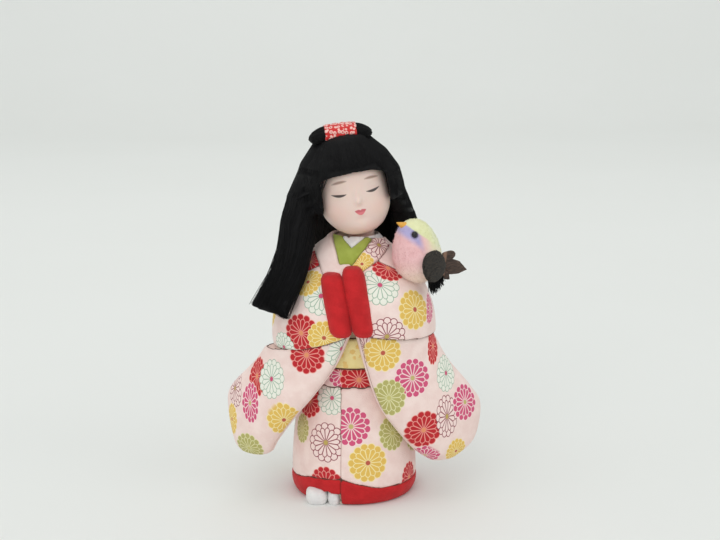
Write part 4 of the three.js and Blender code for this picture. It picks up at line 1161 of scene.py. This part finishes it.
def crown_strands(count, spread, top, bottom, ragged):
    """Strands combed down from the crown, over a spread of angles round the head's own axis."""
    centre = HEAD_FRAME @ (Vector(CROWN_MIDDLE) * MM)
    turning = HEAD_FRAME.to_3x3()
    paths = []
    for _ in range(count):
        around = chance.uniform(*spread)
        drift = chance.gauss(0, CROWN_DRIFT)
        path = []
        for k, tilt in enumerate(np.linspace(top, bottom + chance.uniform(0, ragged), CROWN_STOPS)):
            angle = around + drift * sin(k * CROWN_WAVE)
            way = turning @ Vector((sin(tilt) * cos(angle), sin(tilt) * sin(angle), cos(tilt)))
            point = outer_point(fallen, centre, way, CROWN_REACH)
            if point is None:
                break
            path.append(point)
        paths.append(path)
    return [path for path in paths if len(path) >= LEAST_CROWN]


def loop_strands(side, count):
    """Strands that run out along a loop of the roll."""
    node = f"{side}_hair_loop"
    tree = hair_mass("roll_" + side, [node])
    middle = Vector(read_points(nodes[node].data).mean(axis=0))
    along = HEAD_FRAME.to_3x3() @ Vector((-1 if side == "right" else 1, 0, 0))
    across = along.orthogonal().normalized()
    paths = []
    for _ in range(count):
        out = across.copy()
        out.rotate(Matrix.Rotation(chance.uniform(0, 2 * pi), 3, along))
        tilts = np.linspace(*LOOP_TILTS, LOOP_STOPS)
        ways = [(along * sin(tilt) + out * cos(tilt)).normalized() for tilt in tilts]
        points = [outer_point(tree, middle, way, LOOP_REACH) for way in ways]
        paths.append([point for point in points if point])
    return [path for path in paths if len(path) >= LEAST_LOOP]


STRAND_R = 0.13
FRONT = -pi / 2
hair_paths = {
    "strands_right_lock": lock_strands("right_side_hair", 1000, pi, (-2.0, 2.7)),
    "strands_left_lock": lock_strands("left_side_hair", 800, 0.0, (-2.7, 2.0)),
    "strands_back": lock_strands("back_hair", 900, pi / 2),
    "strands_crown": crown_strands(600, (FRONT + 0.6, FRONT + 5.7), 0.15, 1.15, 0.75),
    "strands_fringe": crown_strands(480, (FRONT - 0.85, FRONT + 0.85), 0.2, 1.0, 0.03),
    "strands_right_roll": loop_strands("right", 130),
    "strands_left_roll": loop_strands("left", 130),
}
for name, paths in hair_paths.items():
    strand_piece(name, paths, STRAND_R, silk_thread, "head", "silk_thread")

RING_SPACING = 1 / 0.56
RING_RED = (colour(216, 34, 29), colour(196, 20, 21))
RING_PALE = colour(250, 196, 186)


def kanoko_material():
    """Red silk with the small pale rings of tie-dye."""
    made, tree, place = new_material("dotted_silk", Roughness=0.7, Sheen_Weight=0.3)
    cells = tree.cells(place, RING_SPACING, 0.5)
    ring = tree.ramp(cells, 0.16, 0.26) * tree.ramp(cells, 0.54, 0.42)
    ground = tree.mix(tree.noise(place, 1.5), *RING_RED)
    tree.surface(tree.mix(ring, ground, RING_PALE), tree.ramp(cells, 0.6, 0.1), 0.35)
    return made


tie = soft_copy("dotted_tie", ["hair_tie"], 0.35, 14)
wrinkled(tie, 0.12, 3.0, 5)
dress(tie, kanoko_material(), "head", "dotted_silk", "hair_tie")

# Bird: a downy egg-shaped body with feathers

BIRD_FRAME = frame_at((28.3, -17, 118.3), (14, "Z"), (-9, "Y"))
CAP_FROM, CAP_SLOPE = 10.0, -0.95  # the cap's edge at the bird's axis, and its fall towards the tail
PINK, CREAM, TAN = colour(240, 186, 188), colour(244, 216, 200), colour(240, 220, 190)
LAVENDER = colour(168, 160, 212)
YELLOW = (colour(232, 234, 178), colour(236, 239, 200))
PALE_TIPS = colour(250, 244, 240)
COMB = Vector((0.5, 0, -0.8))  # the way the down leans
FUZZ_COUNT, FUZZ_LONG, FUZZ_R = 4500, 0.7, 0.06
FUZZ_CLEAR = 1.5  # no fibre stands nearer to a wing, the tail or the beak than this
FUZZ_ROOT = 0.2  # how deep a fibre starts


def in_frame(piece, matrix):
    """Gives a piece its own frame, so that a material can use that frame's axes."""
    write_points(piece.data, in_own_frame(read_points(piece.data), matrix))
    piece.matrix_world = matrix
    return piece


def down_material():
    """Yellow cap and back, lavender mask, pink breast fading to cream."""
    made, tree, place = new_material("down", Roughness=0.95, Sheen_Weight=0.2, Sheen_Roughness=0.6)
    x, _, z = tree.millimetres(place)
    loose = (tree.noise(place, 3.0) - 0.5) * 1.2
    over_cap_edge = z - (x * CAP_SLOPE + CAP_FROM) + loose
    breast = tree.mix(tree.ramp(z, 0.0, -13.0), PINK, CREAM)
    breast = tree.mix(tree.ramp(x, 0.0, 7.0), breast, TAN)
    mask = tree.ramp(over_cap_edge, -9.0, -4.0) * tree.ramp(x, 2.4, -0.8)
    shade = tree.mix(mask, breast, LAVENDER)
    cap = tree.mix(tree.ramp(x, 5.0, 9.0), *YELLOW)
    below = tree.ramp(over_cap_edge, -6.0, 0.0) * tree.ramp(x, 3.0, 6.5)
    shade = tree.mix(below * 0.7, shade, cap)
    shade = tree.mix(tree.ramp(over_cap_edge, -0.7, 0.4), shade, cap)
    spotty = tree.mix(0.25, shade, tree.mix(tree.noise(place, 0.5), PALE_TIPS, shade))
    tree.surface(spotty, tree.noise(place, 0.45), 0.2)
    return made


def fuzz_paths(piece, bare):
    """Short fibres that stand on a piece and lean one way, except where some nodes cover it."""
    covers = tree_of(*(nodes[name] for name in bare))
    polygons = piece.data.polygons
    weights = [polygon.area for polygon in polygons]
    paths = []
    for polygon in chance.choices(polygons, weights, k=FUZZ_COUNT):
        start, out = polygon.center, polygon.normal
        if covers.find_nearest(piece.matrix_world @ start, FUZZ_CLEAR * MM)[0]:
            continue
        lean = (out * 0.6 + COMB + Vector([chance.gauss(0, 0.3) for _ in range(3)])).normalized()
        size = FUZZ_LONG * MM * chance.uniform(0.6, 1.2)
        paths.append([start - out * FUZZ_ROOT * MM, start + (out + lean) * size * 0.4, start + lean * size])
    return paths


down = down_material()
bird = in_frame(soft_copy("downy_bird", ["bird_body"], 0.55, 90), BIRD_FRAME)
dress(bird, down, "bird", "down", "bird_body")
fuzz = fuzz_paths(bird, ["bird_left_wing", "bird_right_wing", "bird_tail", "bird_beak"])
strand_piece("bird_fuzz", fuzz, FUZZ_R, down, "bird", "down", BIRD_FRAME)

# Feathers, each a cambered vane with a raised shaft and ridged barbs

VANE_LONG, VANE_WIDE = 26, 13  # points along and across a vane
VANE_THICK = 0.12
RIDGE_RISE, RIDGES = 0.05, 7
SHAFT_RISE, SHAFT_WIDTH = 0.16, 0.13


def feather(root, tip, out, half_width, blunt, camber):
    """Points and faces of one feather that faces outwards. Its tip is sharp at blunt 0 and round at 1."""
    axis = tip - root
    length = axis.length
    axis = axis / length
    side = out.cross(axis).normalized()
    face = axis.cross(side)
    points = []
    for t in np.linspace(0, 1, VANE_LONG).tolist():
        swell = min(1.0, 0.35 + 2.2 * t)
        close = (1 - t ** (2 + 5 * blunt)) ** (0.5 + 0.5 * (1 - blunt))
        width = half_width * swell * close
        for v in np.linspace(-1, 1, VANE_WIDE).tolist():
            ridge = RIDGE_RISE * sin(2 * RIDGES * pi * (t * 1.6 - abs(v) * 0.5)) * abs(v)
            shaft = SHAFT_RISE * exp(-((v / SHAFT_WIDTH) ** 2)) * (1 - t)
            lift = camber * (1 - v * v) + ridge + shaft
            points.append(root + axis * length * t + side * v * width + face * lift)
    return points, grid_faces(VANE_LONG, VANE_WIDE, closed=False)


def feather_piece(name, vanes, replaced, made):
    """A rounded copy of a CAD node under overlapping vanes, both in the bird's own frame."""
    under = in_frame(soft_copy("under_" + name, [replaced], 0.4, 10), BIRD_FRAME)
    points, faces = [], []
    for vane_points, vane_faces in vanes:
        faces += (vane_faces + len(points)).tolist()
        points += [p * MM for p in vane_points]
    over = make_object(name, points, faces)
    over.modifiers.new("thickness", "SOLIDIFY").thickness = VANE_THICK * MM
    over.matrix_world = BIRD_FRAME
    dress(under, made, "bird", "feather", replaced)
    dress(over, made, "bird", "feather")


BAND_LEAN = 0.29  # how far the tail's pale band leans with height
PALE_BROWN = colour(158, 122, 102)


def feather_material(name, light, dark, banded):
    """Streaked brown. The tail also has a paler band where the wings meet it."""
    made, tree, place = new_material(name, Roughness=0.75)
    streak = tree.noise(place * (0.25, 1, 1), 0.5, 2.0)
    shade = tree.mix(tree.ramp(streak, 0.3, 0.75), dark, light)
    if banded:
        x, _, z = tree.millimetres(place)
        along = x - z * BAND_LEAN
        band = tree.ramp(along, 13.6, 14.2) * tree.ramp(along, 16.0, 15.2)
        shade = tree.mix(band * 0.7, shade, PALE_BROWN)
    tree.surface(shade, streak, 0.15)
    return made


wing_brown = feather_material("wing_feather", colour(58, 50, 41), colour(20, 17, 15), False)
tail_brown = feather_material("tail_feather", colour(88, 68, 58), colour(54, 42, 36), True)
WING_LEAN = radians(33)
WING_VANES = 5
VANE_STEP = 0.14  # how far each vane of a wing lies over the last
VANE_SPREAD, VANE_HALF = 0.62, 0.42  # shares of the wing's half-height
VANE_BLUNT = 0.9
SEEK_FROM, SEEK_DEPTH = 5, 8  # a vane's point looks for the solid from this far out, and this far in


def wing(name, side):
    """Overlapping vanes that lie on the wing's solid, from the tail's root to its round end."""
    node = "bird_" + name
    back = Vector((cos(WING_LEAN), -side * sin(WING_LEAN), 0))
    out = Vector((sin(WING_LEAN), side * cos(WING_LEAN), 0))
    inverse = BIRD_FRAME.inverted()
    under = tree_of(nodes[node], nodes["bird_body"])
    local = [inverse @ vertex.co / MM for vertex in nodes[node].data.vertices]
    middle = sum(local, Vector()) / len(local)
    half_long = max((p - middle).dot(back) for p in local)
    half_high = max((p - middle).z for p in local)

    def laid(point, layer):
        """Moves a vane's point out onto the solid, where there is solid under it."""
        relief = (point - middle).dot(out)
        way = BIRD_FRAME.to_3x3() @ out
        start = BIRD_FRAME @ ((point + out * SEEK_FROM) * MM)
        hit = under.ray_cast(start, -way, SEEK_DEPTH * MM)[0]
        return (inverse @ hit / MM if hit else point - out * relief) + out * (relief + layer)

    vanes = []
    for k in range(WING_VANES):
        v = 1 - 2 * k / (WING_VANES - 1)
        up = Vector((0, 0, half_high * VANE_SPREAD * v))
        reach = half_long * sqrt(1 - 0.5 * v * v)
        root, tip = middle + back * reach + up * 0.8, middle - back * reach + up
        vane, faces = feather(root, tip, out, half_high * VANE_HALF, VANE_BLUNT, 0)
        vanes.append(([laid(point, (k + 1) * VANE_STEP) for point in vane], faces))
    feather_piece("feathers_" + name, vanes, node, wing_brown)


wing("left_wing", -1)
wing("right_wing", 1)
# The tail's vanes, each from root to tip with its half-width, bluntness and camber
TAIL_VANES = [
    ((10.5, 0.6, -6.2), (18.4, 0.9, -5.2), 2.3, 0.8, 0.3),
    ((10.0, 1.0, -8.6), (21.9, 1.5, -13.0), 2.9, 0.05, 0.3),
    ((10.0, 0.8, -9.2), (18.6, 1.2, -9.6), 2.6, 0.4, 0.3),
    ((9.6, 0.2, -11.1), (13.7, 0.4, -16.5), 2.0, 0.3, 0.3),
]
TAIL_FACES = Vector((0, -1, 0))
tail_vanes = [feather(Vector(root), Vector(tip), TAIL_FACES, *rest) for root, tip, *rest in TAIL_VANES]
feather_piece("feathers_tail", tail_vanes, "bird_tail", tail_brown)

BARB_COUNT, BARB_R = 260, 0.2
BARB_RANGE = ((2.6, 8.8), (-7.5, -3.5), (-14.0, -11.5))  # where barbs start across, in depth and in height
BARB_DROP, BARB_FULL, BARB_SLOPE = 7.4, 3.4, 0.85  # how far they hang, up to where, and how that falls off


def barb_paths():
    """Loose black barbs that hang under the wing, in the bird's own frame."""
    paths = []
    for _ in range(BARB_COUNT):
        start = Vector([chance.uniform(*ends) for ends in BARB_RANGE])
        drop = chance.uniform(0.6, 1.0) * (BARB_DROP - BARB_SLOPE * max(start.x - BARB_FULL, 0))
        fall = Vector((chance.uniform(-0.6, 1.4), chance.uniform(-0.8, 0.4), -drop))
        bend = Vector((chance.gauss(0, 0.4), chance.gauss(0, 0.3), 0))
        paths.append([p * MM for p in (start, start + fall * 0.5 + bend, start + fall)])
    return paths


black_barbs = hair_material("black_barbs", 0.1)
strand_piece("bird_barbs", barb_paths(), BARB_R, black_barbs, "bird", "feather", BIRD_FRAME)

BEAK_RINGS, BEAK_AROUND = 16, 24
BEAK_R = 1.9
BLUNT = 0.03  # share of its radius that the beak keeps at its tip
FOLD, FOLD_WIDTH = 0.14, 0.16  # depth and width of the fold


def tapered(name, root, tip, radius, matrix):
    """A closed beak from root to tip, a little flattened, with a fold along each side."""
    axis = tip - root
    side = axis.orthogonal().normalized()
    up = axis.normalized().cross(side)
    points = []
    for t in np.linspace(0, 1, BEAK_RINGS).tolist():
        size = radius * max(1 - t, BLUNT) ** 0.8
        for j in range(BEAK_AROUND):
            angle = 2 * pi * j / BEAK_AROUND
            fold = 1 - FOLD * exp(-((sin(angle) / FOLD_WIDTH) ** 2))
            out = side * cos(angle) + up * sin(angle)
            points.append((root + axis * t + out * size * fold) * MM)
    first = list(range(BEAK_AROUND))
    last = [i + BEAK_AROUND * (BEAK_RINGS - 1) for i in first]
    made = make_object(name, points, [*grid_faces(BEAK_RINGS, BEAK_AROUND).tolist(), first[::-1], last])
    made.matrix_world = matrix
    return made


BEAK_ROOT = Vector((-3.9, -1.0, 12.6))
beak_points = [BIRD_FRAME.inverted() @ vertex.co / MM for vertex in nodes["bird_beak"].data.vertices]
beak_tip = max(beak_points, key=lambda p: (p - BEAK_ROOT).length)
beak = tapered("smooth_beak", BEAK_ROOT, beak_tip, BEAK_R, BIRD_FRAME)
yellow_beak = grained("beak", colour(240, 182, 76), colour(222, 154, 56), 0.5, 1.0)
dress(beak, yellow_beak, "bird", "beak", "bird_beak")
bead = grained("bead", colour(14, 14, 22), colour(26, 26, 36), 0.12, 0.6)
for side in SIDES:
    eye = soft_copy(f"bead_{side}_eye", [f"bird_{side}_eye"], 0.16, 12)
    dress(eye, bead, "bird", "bead", f"bird_{side}_eye")

# The pieces that stay as they are get their own finishes


def wood_material():
    made, tree, place = new_material("dowel_wood", Roughness=0.75)
    grain = tree.noise(place * (1, 1, 0.15), 1.2, 4.0)
    shade = tree.mix(tree.ramp(grain, 0.3, 0.7), colour(214, 184, 138), colour(182, 146, 100))
    tree.surface(shade, grain, 0.1)
    return made


def finish_nodes(made, *names):
    for name in names:
        nodes[name].material_slots[0].material = made


finish_nodes(grained("paste", colour(224, 204, 184), colour(206, 182, 160), 0.95, 0.8), "body_core")
pink_paste = grained("pink_paste", colour(240, 214, 204), colour(228, 198, 188), 0.95, 0.8)
finish_nodes(pink_paste, "right_sleeve_core", "left_sleeve_core")
finish_nodes(wood_material(), "right_sleeve_dowel", "left_sleeve_dowel", "neck_peg")
paper = grained("paper", colour(236, 230, 214), colour(222, 214, 194), 0.9, 0.5)
finish_nodes(paper, "base_cover", "peg_wrap")
finish_nodes(grained("wire", colour(130, 130, 132), colour(100, 100, 104), 0.35, 0.4), "bird_wire")

# Pale sweep and soft studio light, in metres

HALF_SWEEP, SWEEP_NEAR, SWEEP_HIGH = 4.0, -3.0, 3.0
BEND_AT, BEND_R, BEND_ROWS = 1.4, 0.9, 14  # where the floor starts to curve up, how round, in how many rows


def sweep():
    """A floor that curves up into a wall far behind the doll."""
    profile = [(SWEEP_NEAR, 0.0), (0.0, 0.0), (BEND_AT, 0.0)]
    for a in np.linspace(0.1, pi / 2, BEND_ROWS):
        profile.append((BEND_AT + BEND_R * sin(a), BEND_R - BEND_R * cos(a)))
    profile.append((BEND_AT + BEND_R, SWEEP_HIGH))
    points = [(x, y, z) for y, z in profile for x in (-HALF_SWEEP, HALF_SWEEP)]
    return make_object("sweep", points, grid_faces(len(profile), 2, closed=False))


floor = sweep()
pale = grained("pale_sweep", colour(232, 233, 230), colour(236, 237, 235), 0.9, 300.0, depth=0)
floor.data.materials.append(pale)

DOLL = (0, 0, 0.09)
WALL = (0, 2.2, 0.5)
# Each light's place, what it is aimed at, its size and its power
LIGHTS = {
    "overhead": ((-0.25, -0.25, 1.5), DOLL, 1.6, 4.2),
    "front": ((-0.5, -1.6, 0.9), DOLL, 1.2, 6.4),
    "side": ((1.3, -0.7, 0.8), DOLL, 1.0, 2.0),
    "wall": ((0, 0.7, 1.6), WALL, 1.6, 5.0),
}
for name, (place, aim, size, power) in LIGHTS.items():
    lamp = bpy.data.lights.new(name, "AREA")
    lamp.shape = "DISK"
    lamp.size = size
    lamp.energy = power
    light = linked(name, lamp)
    light.location = place
    light.rotation_euler = (Vector(aim) - Vector(place)).to_track_quat("-Z", "Y").to_euler()
scene.world = bpy.data.worlds.new("studio")
scene.world.use_nodes = True
sky = scene.world.node_tree.nodes["Background"].inputs
sky["Color"].default_value = (0.96, 0.99, 0.98, 1.0)
sky["Strength"].default_value = 0.7
scene.view_settings.view_transform = "Standard"
